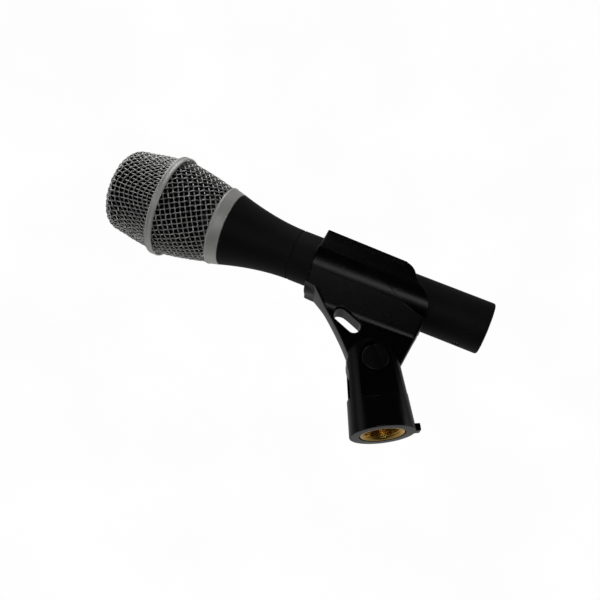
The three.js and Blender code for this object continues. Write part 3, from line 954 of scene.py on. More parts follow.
@dataclass
class Grille(Assembly):
    """The woven head: nose shell, lower shell, the band between them and the foam inside."""

    sunk: float = 0.56
    shoulder: float = 7.4
    nose_centre: float = 12.6
    shoulder_x: float = 7.6
    band: tuple[float, float] = (26.9, 30.2)
    band_radius: float = 24.4
    band_inner: float = 23.7
    groove: float = 0.14
    dome_turn: float = math.radians(25)
    cone_turn: float = math.radians(205.5)
    dome_gather: float = 0.15
    dome_limits: Point2 = (0.0, 28.3)
    dome_flank: tuple[Point2, ...] = ((12, 20.75), (17, 21.7), (24, 22.6), (28.2, 23.2), (44, 25.0))
    cone_limits: Point2 = (54.15, 28.7)
    cone_pitch: float = 2.3
    cone_wire: float = 0.3

    def dome_outline(self) -> list[Point2]:
        """Middle of the nose shell's cloth from the pole outwards, running on past its rim."""
        sunk = self.sunk
        points: list[Point2] = [(sunk, 0.0), (0.2 + sunk, 4.0), (0.55 + sunk, 7.5)]
        for angle in np.radians(np.linspace(4, 86, 14)):
            x = self.shoulder_x - (self.shoulder_x - 1.1 - sunk) * math.cos(angle)
            points.append((x, self.nose_centre + (self.shoulder - sunk) * math.sin(angle)))
        return points + [(x, radius - sunk) for x, radius in self.dome_flank]

    def cone_outline(self) -> list[Point2]:
        """Middle of the lower shell's cloth, from behind the collar forwards."""
        points: list[Point2] = [(57.5, 17.2)]
        for t in np.linspace(1.02, 0, 12):
            points.append((28.8 + 25.2 * t, 23.3 - 4.9 * t + 2 * t * (1 - t) - self.sunk))
        points.append((20.0, 24.9 - self.sunk))
        return points

    def build(self) -> None:
        """Build and dress the whole grille."""
        nose = WovenShell(self.dome_outline(), self.dome_limits, self.dome_turn, self.dome_gather)
        lower = RolledShell(self.cone_outline(), self.cone_limits, self.cone_turn,
                            pitch=self.cone_pitch, wire=self.cone_wire)
        shells = (("nose_mesh", nose, "grille_dome"), ("lower_mesh", lower, "grille_cone"))
        for name, shell, node in shells:
            cloth = shell.surface().piece(name, STANCE.microphone(), crease=60.0)
            self.workshop.fit(cloth, Body.GRILLE, Slot.MESH_STEEL, WOVEN_STEEL, node)
        front, rear = self.band
        middle = (front + rear) / 2
        low, top = self.band_radius - self.groove, self.band_radius
        profile = rounded([
            (front, self.band_inner, 0), (front, low - 0.1, 0.12), (front + 0.25, top, 0.3),
            (front + 1.0, top, 0.3), (front + 1.3, low, 0.2), (middle, low + 0.05, 0.3),
            (rear - 1.3, low, 0.2), (rear - 1.0, top, 0.3), (rear - 0.25, top, 0.3),
            (rear, low - 0.1, 0.12),
            (rear, self.band_inner, 0), (front, self.band_inner, 0)])
        band = turned(profile[:-1], closed=True).piece("band", STANCE.microphone())
        self.workshop.fit(band, Body.GRILLE, Slot.MATTE_SILVER, BLASTED_SILVER, "grille_band")
        self.dress(FOAM, "pop_foam")


# ---------------------------------------------------------------- handle
@dataclass
class Handle(Assembly):
    """The grille's threaded collar, the flared front, the seam and the straight rear tube."""

    collar: tuple[float, float] = (54.3, 60.0)
    lip_radius: float = 18.9
    collar_rear: float = 17.5
    collar_bore: float = 15.9
    radius: float = 12.0
    wall: float = 2.0
    flare: float = 5.3
    seam: tuple[float, float] = (92.4, 93.2)
    length: float = 185.0
    tail_bore: float = 9.6
    neck: float = 15.6
    screw_at: float = 174.6
    screw_hole: float = 1.6
    spigot_front: float = 53.4
    neck_front: float = 52.0
    neck_bore: float = 13.6
    neck_rear: float = 63.0
    tail_step: float = 163.0

    def build(self) -> None:
        """Build and dress the handle."""
        place = STANCE.microphone()
        collar = turned(self._collar_profile(), closed=True).piece("threaded_collar", place)
        self.workshop.fit(collar, Body.GRILLE_RING, Slot.MATTE_SILVER, BLASTED_SILVER, "grille_collar")
        front = turned(self._front_profile(), closed=True).piece("flared_front", place)
        self.workshop.fit(front, Body.FRONT_HANDLE, Slot.HANDLE_BLACK, HANDLE_COAT, "handle_front")
        rear = turned(self._rear_profile(), closed=True).piece("rear_tube", place, crease=40)
        drill = rod(-14, -7, self.screw_hole, Axis.Z, 40)
        spot = moved(place, self.screw_at, 0, 0)
        combine(rear, drill.piece("drill", spot), Combine.CUT, crease=40)
        self.workshop.fit(rear, Body.MICROPHONE, Slot.HANDLE_BLACK, HANDLE_COAT, "handle_rear")
        self.dress(RUBBER, "seam_ring")

    def _collar_profile(self) -> list[Point2]:
        """The collar: a raised front lip and a plain taper."""
        front, rear = self.collar
        lip, end, bore, spigot = self.lip_radius, self.collar_rear, self.collar_bore, self.spigot_front
        return rounded([
            (spigot, bore + 1, 0), (front, bore + 1, 0), (front, lip, 0.25), (front + 0.95, lip, 0.25),
            (front + 1.2, lip - 0.32, 0.15), (rear, end, 0.3), (rear, bore, 0), (spigot, bore, 0),
            (spigot, bore + 1, 0)])[:-1]

    def _front_profile(self) -> list[Point2]:
        """The flared front: a neck inside the collar, then a taper that eases into the tube."""
        start, end = self.collar[1] + 0.4, self.seam[0]
        taper = [(start + (end - start) * t, self.radius + self.flare * (1 - t) ** 1.75)
                 for t in np.linspace(0, 1, 40)]
        inside = [(x, r - self.wall) for x, r in reversed(taper) if x > self.neck_rear + 1]
        neck = [(self.neck_front, self.neck_bore), (self.neck_front, self.neck),
                (self.collar[1] + 0.3, self.neck),
                (self.collar[1] + 0.3, taper[0][1] - 0.25)]
        return [*neck, *taper, *inside, (self.neck_rear, self.neck_bore)]

    def _rear_profile(self) -> list[Point2]:
        """The straight tube with a rounded tail and the connector's bore."""
        inner, end, bore = self.radius - self.wall, self.length, self.tail_bore
        return rounded([
            (self.seam[1], inner, 0), (self.seam[1], self.radius, 0.2), (end, self.radius, 1.2),
            (end, bore, 0.4), (self.tail_step, bore, 0), (self.tail_step, inner, 0),
            (self.seam[1], inner, 0)], steps=7)[:-1]


# ---------------------------------------------------------------- inside
@dataclass
class Cartridge(Assembly):
    """The capsule and its mountings behind the foam."""

    def build(self) -> None:
        """Dress the carried-over capsule nodes."""
        self.dress(NICKEL, "capsule_housing", "capsule_front_grid")
        self.dress(TURNED_BRASS, "diaphragm_ring", "backplate", "capsule_contact")
        self.dress(GOLD_FILM, "diaphragm")
        self.dress(AMBER, "backplate_holder")
        self.dress(RUBBER, "shock_mount")
        self.dress(INSULATOR, "cartridge_cup")
        self.dress(RED_JACKET, "capsule_lead_signal")
        self.dress(BLACK_JACKET, "capsule_lead_ground")


@dataclass
class Preamplifier(Assembly):
    """The circuit board and its components inside the rear tube."""

    def build(self) -> None:
        """Dress the carried-over electronics."""
        self.dress(BOARD, "preamp_board")
        self.dress(INSULATOR, "board_rail_front", "board_rail_rear", "output_transistor_1",
                   "output_transistor_2")
        self.dress(CAN_SLEEVE, "coupling_capacitor_1", "coupling_capacitor_2", "filter_capacitor")
        self.dress(NICKEL, "input_transistor")
        self.dress(BLACK_JACKET, "output_lead_ground")
        self.dress(RED_JACKET, "output_lead_plus")
        self.dress(WHITE_JACKET, "output_lead_minus")


@dataclass
class Connector(Assembly):
    """The recessed three-pin connector in the tail and the screw that holds it."""

    front: float = 160.0
    face: float = 167.5
    small_radius: float = 8.9
    large_radius: float = 9.3
    pin_radius: float = 1.2
    pin_circle: float = 4.1
    pin_front: float = 158.0
    pin_rear: float = 182.4
    screw_at: float = 174.6
    screw_radius: float = 1.3
    step: float = 163.4
    dish: float = 8.2
    socket: float = 1.5
    handle_radius: float = 12.0

    def build(self) -> None:
        """Build and dress the connector."""
        place = STANCE.microphone()
        insert = turned(rounded([
            (self.front, 0, 0), (self.front, self.small_radius, 0.3), (self.step, self.small_radius, 0),
            (self.step, self.large_radius, 0.2), (self.face, self.large_radius, 0.4),
            (self.face - 0.5, self.dish, 0.3),
            (self.face - 0.5, 0, 0)]), segments=120).piece("connector_core", place)
        for index in range(3):
            y, z = self._pin_place(index)
            spot = moved(place, 0, y, z)
            socket = rod(159, 170, self.socket, Axis.X, 40)
            combine(insert, socket.piece("socket", spot), Combine.CUT)
            pin = turned(rounded([
                (self.pin_front, 0, 0), (self.pin_front, self.pin_radius, 0.2),
                (self.pin_rear - 0.8, self.pin_radius, 0.5), (self.pin_rear, 0.55, 0.3),
                (self.pin_rear, 0, 0)]), segments=40).piece(f"pin_{index + 1}", spot)
            self.workshop.fit(pin, Body.MICROPHONE, Slot.NICKEL, NICKEL, f"connector_pin_{index + 1}")
        key = block((166, -1.3, 7.6), (169, 1.3, 10.5)).piece("key", place)
        combine(insert, key, Combine.CUT)
        self.workshop.fit(insert, Body.MICROPHONE, Slot.INSULATOR, INSULATOR, "connector_insert")
        self._set_screw(place)

    def _pin_place(self, index: int) -> Point2:
        """Where a pin stands across the axis."""
        angle = math.radians(-90 + 120 * index)
        return self.pin_circle * math.cos(angle), self.pin_circle * math.sin(angle)

    def _set_screw(self, place: Matrix) -> None:
        """The slotted set screw under the tail.

        Args:
            place: The microphone's frame.
        """
        low = -self.handle_radius + 0.2
        spot = moved(place, self.screw_at, 0, 0)
        radius = self.screw_radius
        profile = rounded([(low, 0, 0), (low, radius, 0.25), (low + 2, radius, 0.1), (low + 2, 0, 0)])
        screw = turned(profile, Axis.Z, 40).piece("set_screw", spot)
        slot = block((-0.28, -3, low - 1), (0.28, 3, low + 0.7)).piece("slot", spot)
        combine(screw, slot, Combine.CUT)
        self.workshop.fit(screw, Body.MICROPHONE, Slot.BLACK_STEEL, BLACK_STEEL, "connector_set_screw")


# ---------------------------------------------------------------- clip
@dataclass
class ClipHolder(Assembly):
    """The moulded holder: an open sleeve with ribbed lips, a thicker saddle and a web to the pivot."""

    front: float = 103.0
    rear: float = 158.4
    outer: float = 14.3
    saddle: float = 15.5
    bore: float = 12.45
    shrink: float = 0.075
    valley: float = 1.0
    lip_height: float = 13.3
    lip_outer: float = 10.0
    lip_inner: float = 7.4
    rib_rows: tuple[float, ...] = (1.15, 2.05, 2.95)
    rib_depth: float = 0.4
    round_edge: float = 0.55
    web_half: float = 4.75
    web_fillet: float = 8.0
    flank: Point2 = (6.2, -19.2)
    web_round: float = 0.9
    tongue: float = 11.4
    hole_centre: Point2 = (-17.8, 13.9)
    hole_size: Point2 = (14.0, 6.0)
    hole_slope: float = -21.0
    around: int = 100
    rib_end: float = 141.0
    sweep_start: float = 139.0
    throat: float = math.radians(57)
    clear_bore: float = 13.2
    hole_soften: float = 0.6

    def build(self) -> None:
        """Build and dress the holder."""
        holder = self._sleeve()
        combine(holder, self._web(), Combine.JOIN)
        combine(holder, self._hole_tool().piece("hole", STANCE.holder()), Combine.CUT)
        pivot = rod(-8, 8, PIVOT_HOLE, Axis.Y, 48)
        combine(holder, pivot.piece("pivot_hole", STANCE.holder()), Combine.CUT)
        self.workshop.fit(holder, Body.HOLDER, Slot.CLIP_PLASTIC, SATIN_PLASTIC, "clip_holder")

    def _narrow(self, x: float) -> float:
        """How much the sleeve has narrowed at a place along the microphone."""
        return 1 - self.shrink * (x - self.front) / (self.rear - self.front)

    def _top(self, x: float) -> float:
        """Height of the sleeve's upper edge: level along the lips, then sweeping down to the rear."""
        sweep = np.vstack((bezier([(141.3, 13.4), (141.5, 12.6), (142.0, 12.3)], 6),
                           bezier([(142.0, 12.3), (145.6, 11.4), (147.2, 8.0)], 12)[1:],
                           bezier([(147.2, 8.0), (149.5, 3.2), (153.4, 0.0)], 12)[1:],
                           bezier([(153.4, 0.0), (158.2, -4.0), (self.rear, -9.5)], 24)[1:]))
        return min(float(np.interp(x, sweep[:, 0], sweep[:, 1])), self.lip_height * self._narrow(x))

    def _step(self, x: float) -> float:
        """Height of the saddle's upper edge, which follows the valley and then sweeps down."""
        return float(np.interp(x, *self._sweep().T))

    def _sweep(self) -> np.ndarray:
        """The saddle's upper edge as points (x, z)."""
        curve = bezier([(122, 0.6), (134, 0.2), (141, -8.6), (self.rear, -10.8)], 60)
        return np.vstack(((self.front, self.valley), curve))

    def _side(self, z: np.ndarray) -> np.ndarray:
        """Half-width of the sleeve without its saddle, at heights before narrowing."""
        lip = bezier([(14.265, self.valley), (11.2, 7.0), (self.lip_outer, 12.6)], 40)
        curved = np.interp(z, lip[:, 1], lip[:, 0])
        circle = np.sqrt(np.maximum(self.outer ** 2 - np.minimum(z, self.valley) ** 2, 0))
        return np.where(z > self.valley, curved, circle)

    def _outside(self, x: float, ribs: float) -> np.ndarray:
        """Outer half-section from the inner top edge down to the bottom.

        Args:
            x: Place along the microphone.
            ribs: Strength of the grooves along the lip.

        Returns:
            Points (y, z) of shape (around, 2).
        """
        scale = self._narrow(x)
        top, step = self._top(x) / scale, self._step(x) / scale
        rim = 0.5
        corner = float(self._side(np.array(top - rim)))
        quarter = np.radians(np.linspace(90, 0, 5))
        head = np.stack((corner - rim + rim * np.cos(quarter), top - rim + rim * np.sin(quarter)), axis=-1)
        share = min(1.0, (top - rim - step) / 5.0)
        fine = top - rim - np.arange(1, 37) * 0.1 * share
        rest = np.linspace(fine[-1], step, 16)[1:]
        z = np.concatenate((fine, rest))
        y = self._side(z)
        depth = sum(np.exp(-((top - z - row) / 0.17) ** 2) for row in self.rib_rows)
        y = y - ribs * self.rib_depth * depth
        flank = np.stack((y, z), axis=-1)
        ledge_y = math.sqrt(self.saddle ** 2 - step ** 2)
        start = math.asin((step - 0.35) / self.saddle)
        ledge = bezier([(float(self._side(np.array(step))) + 0.05, step - 0.02), (ledge_y - 0.1, step),
                        (self.saddle * math.cos(start), step - 0.35)], 6)
        left = self.around - len(head) - len(flank) - len(ledge)
        angles = np.linspace(start, -math.pi / 2, left + 1)[1:]
        belly = self.saddle * np.stack((np.cos(angles), np.sin(angles)), axis=-1)
        belly[-1, 0] = 0.0
        return np.vstack((head, flank, ledge, belly)) * scale

    def _inside(self, x: float) -> np.ndarray:
        """Inner half-section from the top edge down to the bottom of the bore.

        Args:
            x: Place along the microphone.

        Returns:
            Points (y, z) of shape (around, 2).
        """
        top, bore = self._top(x), self.bore
        knee = (bore * math.cos(self.throat), bore * math.sin(self.throat))
        angles = np.linspace(self.throat, -math.pi / 2, 80)
        circle = np.stack((bore * np.cos(angles), bore * np.sin(angles)), -1)
        curve = np.vstack(((self.lip_inner, self.lip_height), circle))
        if top > knee[1]:
            at = (top - knee[1]) / (self.lip_height - knee[1])
            first = (knee[0] + (self.lip_inner - knee[0]) * at, top)
        else:
            first = (math.sqrt(bore ** 2 - top ** 2), top)
        kept = np.vstack((first, curve[curve[:, 1] < top - 1e-4]))
        kept[-1, 0] = 0.0
        reach = np.concatenate(((0.0,), np.cumsum(np.linalg.norm(np.diff(kept, axis=0), axis=1))))
        at = np.linspace(0, reach[-1], self.around)
        return np.stack((np.interp(at, reach, kept[:, 0]), np.interp(at, reach, kept[:, 1])), axis=-1)

    def _sleeve(self) -> bpy.types.Object:
        """Loft the sleeve and saddle from their sections.

        Returns:
            The sleeve as a closed piece.
        """
        edge = self.round_edge
        sections = []
        for x, inset in self._stations(edge):
            fade_in = float(np.clip((x - self.front - 0.6) / 0.5, 0, 1))
            fade_out = float(np.clip((self.rib_end - x) / 1.2, 0, 1))
            outer, inner = self._outside(x, fade_out * fade_in), self._inside(x)
            loop = np.vstack((outer, (outer * (-1, 1))[-2::-1], inner * (-1, 1), inner[-2::-1]))
            sections.append(self._inset(loop, inset, x))
        rows = np.array(sections)
        shape = Surface().grid(rows)
        around, total = self.around, rows.shape[1]
        for base, flip in ((0, False), ((len(rows) - 1) * total, True)):
            for k in range(around - 1):
                right = [base + k, base + k + 1, base + total - 2 - k, base + total - 1 - k]
                left = [base + 2 * around - 2 - k, base + 2 * around - 3 - k, base + 2 * around + k,
                        base + 2 * around - 1 + k]
                shape.faces.extend((right, left) if flip else (right[::-1], left[::-1]))
        return shape.piece("clip", STANCE.microphone(), crease=38.0)

    def _stations(self, edge: float) -> list[Point2]:
        """Where the sections stand along the sleeve, and how far each is drawn in to round the ends."""
        quarter = np.radians(np.linspace(0, 90, 6))
        front = [(self.front + edge * (1 - math.sin(a)), edge * (1 - math.cos(a))) for a in quarter]
        rear = [(self.rear - edge * (1 - math.sin(a)), edge * (1 - math.cos(a))) for a in quarter]
        coarse = np.arange(self.front + edge + 0.5, self.sweep_start, 1.0)
        fine = np.arange(self.sweep_start + 0.2, self.rear - edge, 0.35)
        return sorted(front) + [(float(x), 0.0) for x in (*coarse, *fine)] + sorted(rear)

    @staticmethod
    def _inset(loop: np.ndarray, inset: float, x: float) -> np.ndarray:
        """Draw a closed section in along its normals and stand it at its place.

        Args:
            loop: The section's points (y, z), clockwise seen from the tail.
            inset: How far to draw it in.
            x: Its place along the microphone.

        Returns:
            The section's points in space.
        """
        along = np.roll(loop, -1, axis=0) - np.roll(loop, 1, axis=0)
        along /= np.maximum(np.linalg.norm(along, axis=1, keepdims=True), 1e-9)
        drawn = loop + inset * np.stack((along[:, 1], -along[:, 0]), axis=-1)
        return np.stack((np.full(len(loop), x), drawn[:, 0], drawn[:, 1]), axis=-1)

    def _web(self) -> bpy.types.Object:
        """The web and tongue, lofted from level slices that flare into the saddle, open for the bore.

        Returns:
            The web as a closed piece.
        """
        above = STANCE.axis_above_pivot
        foot = math.radians(186)
        edge = bezier([(-36.9, 22.0), (-20.0, 8.9), (self.tongue * math.cos(foot),
                                                     self.tongue * math.sin(foot))], 80)[::-1]
        rear_foot = (self.tongue * math.cos(math.radians(16)), self.tongue * math.sin(math.radians(16)))
        sweep = self._sweep()[::-1]
        levels = np.concatenate((-self.tongue * np.cos(np.linspace(0.16, 1.2, 16)),
                                 np.linspace(-4.0, 12.0, 30), np.linspace(12.2, 22.0, 48),
                                 np.linspace(22.06, 22.42, 6), np.linspace(22.6, 28.5, 26)))
        rows = []
        for z in levels:
            disc = math.sqrt(max(self.tongue ** 2 - min(z, 6.0) ** 2, 0.0))
            lead = float(np.interp(z, edge[:, 1], edge[:, 0])) if z > edge[0, 1] else -disc
            lead = max(lead - 12 * max(z - 22.0, 0.0), self.front - STANCE.nose_to_pivot + 0.3)
            tail = rear_foot[0] + (z - rear_foot[1]) * (13.4 - rear_foot[0]) / (25.8 - rear_foot[1])
            ledge = float(np.interp(z - above, sweep[:, 1], sweep[:, 0])) - STANCE.nose_to_pivot - 0.25
            rows.append(self._slice(z, lead, min(tail, ledge) if z > rear_foot[1] else disc))
        web = Surface().grid(np.array(rows), caps=True).piece("web", STANCE.holder())
        bore = rod(90, 170, self.clear_bore, Axis.X, 96)
        combine(web, bore.piece("bore", STANCE.microphone()), Combine.CUT)
        return web

    def _slice(self, z: float, lead: float, tail: float) -> np.ndarray:
        """One level slice of the web.

        Args:
            z: Its height above the pivot.
            lead: Its front end.
            tail: Its rear end.

        Returns:
            Its points, closed.
        """
        soft = min(self.web_round, (tail - lead) / 3)
        near = soft * (1 - np.cos(np.linspace(0, math.pi / 2, 7)))
        middle = np.linspace(lead + soft, tail - soft, 44)[1:-1]
        x = np.concatenate((lead + near, middle, tail - near[::-1]))
        ends = np.minimum(x - lead, tail - x)
        drop = np.where(ends < soft, soft - np.sqrt(np.maximum(soft ** 2 - (soft - ends) ** 2, 0)), 0.0)
        half = np.array([self._half(place, z) for place in x]) - drop
        right = np.stack((x, -half, np.full_like(x, z)), axis=-1)
        left = np.stack((x, half, np.full_like(x, z)), axis=-1)[::-1]
        return np.vstack((right, left))

    def _half(self, x: float, z: float) -> float:
        """Half the web's thickness where it flares into the saddle.

        Args:
            x: Distance from the pivot along the microphone.
            z: Height above the pivot.

        Returns:
            The half thickness.
        """
        scale = self._narrow(x + STANCE.nose_to_pivot)
        level = (z - STANCE.axis_above_pivot) / scale
        fillet, side = self.web_fillet, self.web_half + self.web_fillet
        slope = math.atan2(self.flank[1], self.flank[0]) + math.acos(self.saddle / math.hypot(*self.flank))
        centre = (self.saddle + fillet - math.cos(slope) * side) / math.sin(slope)
        top = centre - fillet * math.sin(slope)
        if level < top:
            wide = side - math.sqrt(fillet ** 2 - max(level - centre, 0.0) ** 2)
        else:
            rise = min(level, self.saddle * math.sin(slope)) - top
            wide = side - fillet * math.cos(slope) - rise * math.tan(slope)
        return max(wide * scale, self.web_half)

    def _hole_tool(self) -> Surface:
        """The slanted oblong hole's cutter, which flares a little to soften both rims.

        Returns:
            The cutter's surface in the pivot's frame.
        """
        reach = (self.hole_size[0] - self.hole_size[1]) / 2
        slope = math.radians(self.hole_slope)
        dx, dz = reach * math.cos(slope), reach * math.sin(slope)
        rows = []
        rim = self.hole_soften
        soften = [(-8.0, rim + 0.1), (-self.web_half - 0.1, rim)]
        soften += [(-self.web_half + rim * math.sin(a), rim * (1 - math.cos(math.pi / 2 - a)))
                   for a in np.linspace(0, math.pi / 2, 6)]
        soften += [(-y, grow) for y, grow in reversed(soften)]
        for y, grow in soften:
            radius = self.hole_size[1] / 2 + grow
            cx, cz = self.hole_centre
            outline = arc((cx + dx, cz + dz), radius, self.hole_slope - 90, self.hole_slope + 90, 24)
            outline += arc((cx - dx, cz - dz), radius, self.hole_slope + 90, self.hole_slope + 270, 24)
            rows.append([(x, y, z) for x, z in outline])
        return Surface().grid(np.array(rows), caps=True)


# ---------------------------------------------------------------- base
@dataclass
class SwivelBase(Assembly):
    """The swivel base with its stand thread, the slotted pivot screw, the washer and the nut."""

    radius: float = 14.1
    taper: float = 0.066
    height: float = 39.2
    pivot: float = 30.4
    ear_width: float = 12.2
    ear_rise: float = 8.3
    roundness: float = 2.6
    slot_floor: float = 15.6
    slot_half: float = 5.05
    pocket_floor: float = 9.3
    pocket_arch: float = 6.9
    pocket_bottom: float = 14.2
    pocket_half: float = 7.8
    lip: float = 0.6
    lip_floor: float = 10.7
    insert_radius: float = 9.6
    insert_length: float = 12.4
    bore: float = 7.55
    mouth: float = 8.9
    recess: float = 0.15
    chamfer: float = 1.5
    thread_pitch: float = 0.94
    thread_depth: float = 0.5
    head: float = 5.75
    head_top: float = 11.9
    head_bottom: float = 10.35
    shank: float = 2.3
    screw_end: float = 8.9
    slot_width: float = 2.0
    slot_depth: float = 1.0
    slot_lean: float = math.radians(-11)
    pocket_corner: float = 1.6
    nut_pocket: float = 8.6
    nut_floor: float = 6.1
    well: Point2 = (12.7, 9.9)
    reach: float = 20.0

    def build(self) -> None:
        """Build and dress the base and what is screwed to it."""
        place = STANCE.base()
        base = self._body(place)
        self.workshop.fit(base, Body.BASE, Slot.CLIP_PLASTIC, SATIN_PLASTIC, "swivel_base")
        insert = self._insert().piece("stand_thread", place, crease=50)
        self.workshop.fit(insert, Body.BASE, Slot.INSERT_BRASS, BRASS, "thread_insert")
        screw = self._screw(place)
        self.workshop.fit(screw, Body.SCREW, Slot.BLACK_STEEL, BLACK_STEEL, "pivot_screw")
        self.dress(NICKEL, "screw_washer", "pivot_nut")

    def _ears(self) -> list[Point2]:
        """Side outline of the ears: straight sides and a squarish arch."""
        points: list[Point2] = [(-20, -1), (20, -1), (20, self.pivot)]
        for angle in np.linspace(0, math.pi, 60):
            cos, sin = math.cos(angle), math.sin(angle)
            x = math.copysign(abs(cos) ** (2 / self.roundness), cos)
            rise = self.ear_rise * max(sin, 0) ** (2 / self.roundness)
            points.append((self.ear_width * x, self.pivot + rise))
        return [*points, (-20, self.pivot)]

    def _pocket(self, grow: float) -> list[Point2]:
        """Outline of the keyhole pocket round the screw head."""
        half, foot, radius = self.pocket_half + grow, self.pocket_bottom - grow, self.pocket_arch + grow
        corner = self.pocket_corner
        left, low, right = (corner - half, foot - 0.1), (0, foot - 0.8), (half - corner, foot - 0.1)
        bends = (([(-half, foot + corner), (-half, foot), left], 8), ([left, low, right], 14),
                 ([right, (half, foot), (half, foot + corner)], 8))
        points = arc((0, self.pivot), radius, 0, 180, 48) + [(-half, foot + corner)]
        for bend, steps in bends:
            points += [tuple(point) for point in bezier(bend, steps)[1:]]
        return points

    def _body(self, place: Matrix) -> bpy.types.Object:
        """The moulded base.

        Args:
            place: The base's frame.

        Returns:
            The finished piece.
        """
        top = self.radius - self.taper * self.height
        profile = rounded([(0, 0, 0), (0, self.radius, 0.5), (self.height, top, 0), (self.height, 0, 0)])
        body = turned(profile, Axis.Z, 192).piece("base", place)
        reach, depth, wide = self.reach, *self.well
        fork = block((-reach, -self.slot_half, self.slot_floor), (reach, self.slot_half, self.height + 5))
        steps = [
            (plate(self._ears(), (-reach, reach)), Combine.KEEP),
            (block((12.1, -2, 0), (16.0, 2, 3.2), 0.5), Combine.JOIN),
            (fork, Combine.CUT),
            (rod(-1, depth, wide, Axis.Z, 160), Combine.CUT),
        ]
        for side in (-1, 1):
            for grow, floor in ((0.0, self.pocket_floor), (self.lip, self.lip_floor)):
                levels = sorted((side * floor, side * reach))
                steps.append((plate(self._pocket(grow), levels), Combine.CUT))
        hexagon = arc((0, self.pivot), self.nut_pocket / 2 / math.cos(math.pi / 6), 0, 300, 6)
        steps.append((plate(hexagon, (self.nut_floor, reach)), Combine.CUT))
        for tool, how in steps:
            combine(body, tool.piece("tool", place), how, crease=34)
        across = rod(-reach, reach, PIVOT_HOLE, Axis.Y, 48)
        spot = moved(place, 0, 0, self.pivot)
        combine(body, across.piece("tool", spot), Combine.CUT, crease=34)
        return body

    def _insert(self) -> Surface:
        """The brass insert with a real helical thread.

        Returns:
            The insert's surface.
        """
        angle = np.linspace(0, 2 * math.pi, 160, endpoint=False)
        start, end = self.recess + self.chamfer - 0.5, self.insert_length
        along = np.linspace(end, start, int((end - start) / self.thread_pitch * 10))
        phase = along[:, None] / self.thread_pitch + angle[None, :] / (2 * math.pi)
        ridge = np.abs((phase % 1.0) * 2 - 1)
        ridge = np.clip(ridge * 1.35 - 0.175, 0, 1)
        bore = self.bore + self.thread_depth * (1 - ridge)
        cone = self.mouth - (self.mouth - self.bore) * (along - self.recess) / self.chamfer
        bore = np.maximum(bore, cone[:, None])
        soft = 0.3
        rings = ((self.recess, self.mouth), (self.recess, self.insert_radius - soft),
                 (self.recess + soft, self.insert_radius), (end, self.insert_radius),
                 (end, self.bore + self.thread_depth))
        rows = [np.full((1, len(angle)), radius) for _, radius in rings]
        places = [place for place, _ in rings]
        radii = np.vstack((*rows, bore))
        heights = np.concatenate((places, along))[:, None] + 0 * angle[None, :]
        points = round_axis(heights, radii, angle[None, :] + 0 * radii, Axis.Z)
        return Surface().grid(points, wrap_rows=True)

    def _screw(self, place: Matrix) -> bpy.types.Object:
        """The pivot screw with its slotted pan head.

        Args:
            place: The base's frame.

        Returns:
            The finished piece.
        """
        spot = moved(place, 0, 0, self.pivot)
        screw = turned(rounded([
            (-self.head_top, 0, 0), (-self.head_top, self.head, 0.55), (-self.head_bottom, self.head, 0.15),
            (-self.head_bottom, self.shank, 0), (self.screw_end, self.shank, 0.4), (self.screw_end, 0, 0)]),
            Axis.Y, 128).piece("slotted_screw", spot)
        half = self.slot_width / 2
        slot = block((-half, -self.head_top - 1, -10), (half, -self.head_top + self.slot_depth, 10))
        lean = spot @ Matrix.Rotation(self.slot_lean, 4, "Y")
        combine(screw, slot.piece("tool", lean), Combine.CUT, crease=30)
        return screw


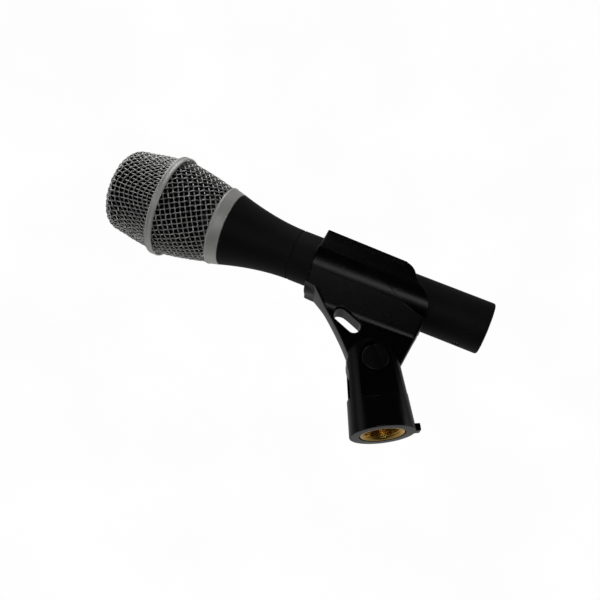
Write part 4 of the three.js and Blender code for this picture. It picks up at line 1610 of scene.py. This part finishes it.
# ---------------------------------------------------------------- studio
@dataclass
class Studio:
    """A pale floor and backdrop, soft lights and the camera."""

    lens: float = 44.8
    eye: tuple[float, float, float] = (-50.204, -303.128, -79.901)
    right: tuple[float, float, float] = (0.9948, -0.0254, -0.0982)
    up: tuple[float, float, float] = (0.0775, -0.4346, 0.8973)
    floor_height: float = -900.0
    sensor: float = 36.0
    room: tuple[float, float, float, float] = (-0.2, 0.95, 0.02, 0.42)
    aim: tuple[float, float, float] = (-0.01, 0.0, 0.06)

    def build(self) -> None:
        """Set the stage."""
        self._camera()
        self._world()
        self._backdrop()
        self._soft_box("key", (-0.20, -0.93, -0.25), (0.50, 0.20), 1.15)
        self._soft_box("top", (-0.25, -0.25, 0.95), (0.90, 0.70), 3.2)
        self._soft_box("left", (-0.95, -0.15, 0.10), (0.40, 0.80), 0.6)
        self._soft_box("right", (0.95, -0.05, -0.10), (0.40, 0.80), 1.2)

    def _camera(self) -> None:
        """The camera, a little below the clip and looking up at it."""
        right, up = Vector(self.right).normalized(), Vector(self.up)
        up = (up - right * up.dot(right)).normalized()
        back = right.cross(up)
        turn = Matrix((right, up, back)).transposed().to_4x4()
        lens = bpy.data.cameras.new("camera")
        lens.lens = self.lens
        lens.sensor_width = self.sensor
        lens.clip_start = 0.01
        lens.clip_end = 50.0
        camera = bpy.data.objects.new("camera", lens)
        camera.matrix_world = Matrix.Translation(Vector(self.eye) * MM) @ turn
        bpy.context.scene.collection.objects.link(camera)
        bpy.context.scene.camera = camera

    def _world(self) -> None:
        """A dim room, brighter behind the object than in front of it."""
        world = bpy.data.worlds.new("room")
        world.use_nodes = True
        nodes = Nodes(world.node_tree)
        place = nodes.node("ShaderNodeTexCoord").outputs["Generated"]
        depth = nodes.node("ShaderNodeSeparateXYZ", None, {0: place}).outputs["Y"]
        ramp = nodes.node("ShaderNodeMapRange", {"interpolation_type": "SMOOTHSTEP"},
                          dict(enumerate((depth, *self.room))))
        background = nodes.tree.nodes["Background"]
        nodes.feed(background.inputs["Color"], (1.0, 1.0, 1.0, 1.0))
        nodes.feed(background.inputs["Strength"], ramp.outputs[0])
        bpy.context.scene.world = world

    def _backdrop(self) -> None:
        """The pale floor and the pale surround behind it, which only the camera sees."""
        floor = Surface()
        disc = [arc((0, 0), radius, 0, 360 - 360 / 96, 96) for radius in (1.0, 600.0, 3000.0)]
        floor.grid(np.array([[(x, y, self.floor_height) for x, y in ring] for ring in disc]))
        ground = floor.piece("floor", Matrix.Identity(4))
        wall = turned([(self.floor_height, 3000), (3000, 3000), (4000, 2000), (4200, 1)], Axis.Z, 96)
        surround = wall.piece("surround", Matrix.Identity(4))
        for piece in (ground, surround):
            graph = Graph(f"{piece.name}_paper")
            tone = graph.noise(2.0, 2.0).between(0.2, 0.8)
            graph.set(Base_Color=(0.0, 0.0, 0.0, 1.0), Roughness=1.0, Emission_Strength=1.0,
                      Emission_Color=graph.mix(tone, (0.98, 0.98, 0.98), (1.0, 1.0, 1.0)))
            graph.shader.inputs["Specular IOR Level"].default_value = 0.0
            piece.data.materials.append(graph.material)
            piece.visible_diffuse = False
            piece.visible_glossy = False
            piece.visible_shadow = False

    def _soft_box(self, name: str, at: tuple[float, float, float], size: Point2,
                  power: float) -> None:
        """A rectangular soft light aimed at the object.

        Args:
            name: The light's name.
            at: Its place in metres.
            size: Its width and height in metres.
            power: Its power in watts.
        """
        light = bpy.data.lights.new(name, "AREA")
        light.shape = "RECTANGLE"
        light.size, light.size_y = size
        light.energy = power
        lamp = bpy.data.objects.new(name, light)
        turn = (Vector(self.aim) - Vector(at)).to_track_quat("-Z", "Y").to_matrix().to_4x4()
        lamp.matrix_world = Matrix.Translation(Vector(at)) @ turn
        bpy.context.scene.collection.objects.link(lamp)


def main() -> None:
    """Build the studio and every sub-assembly in order."""
    logging.basicConfig(level=logging.INFO, format="%(message)s")
    bpy.context.scene.view_settings.view_transform = "Standard"
    Studio().build()
    workshop = Workshop()
    for kind in (Grille, Handle, Cartridge, Preamplifier, Connector, ClipHolder, SwivelBase):
        kind(workshop).build()


if __name__ == "__main__":
    main()
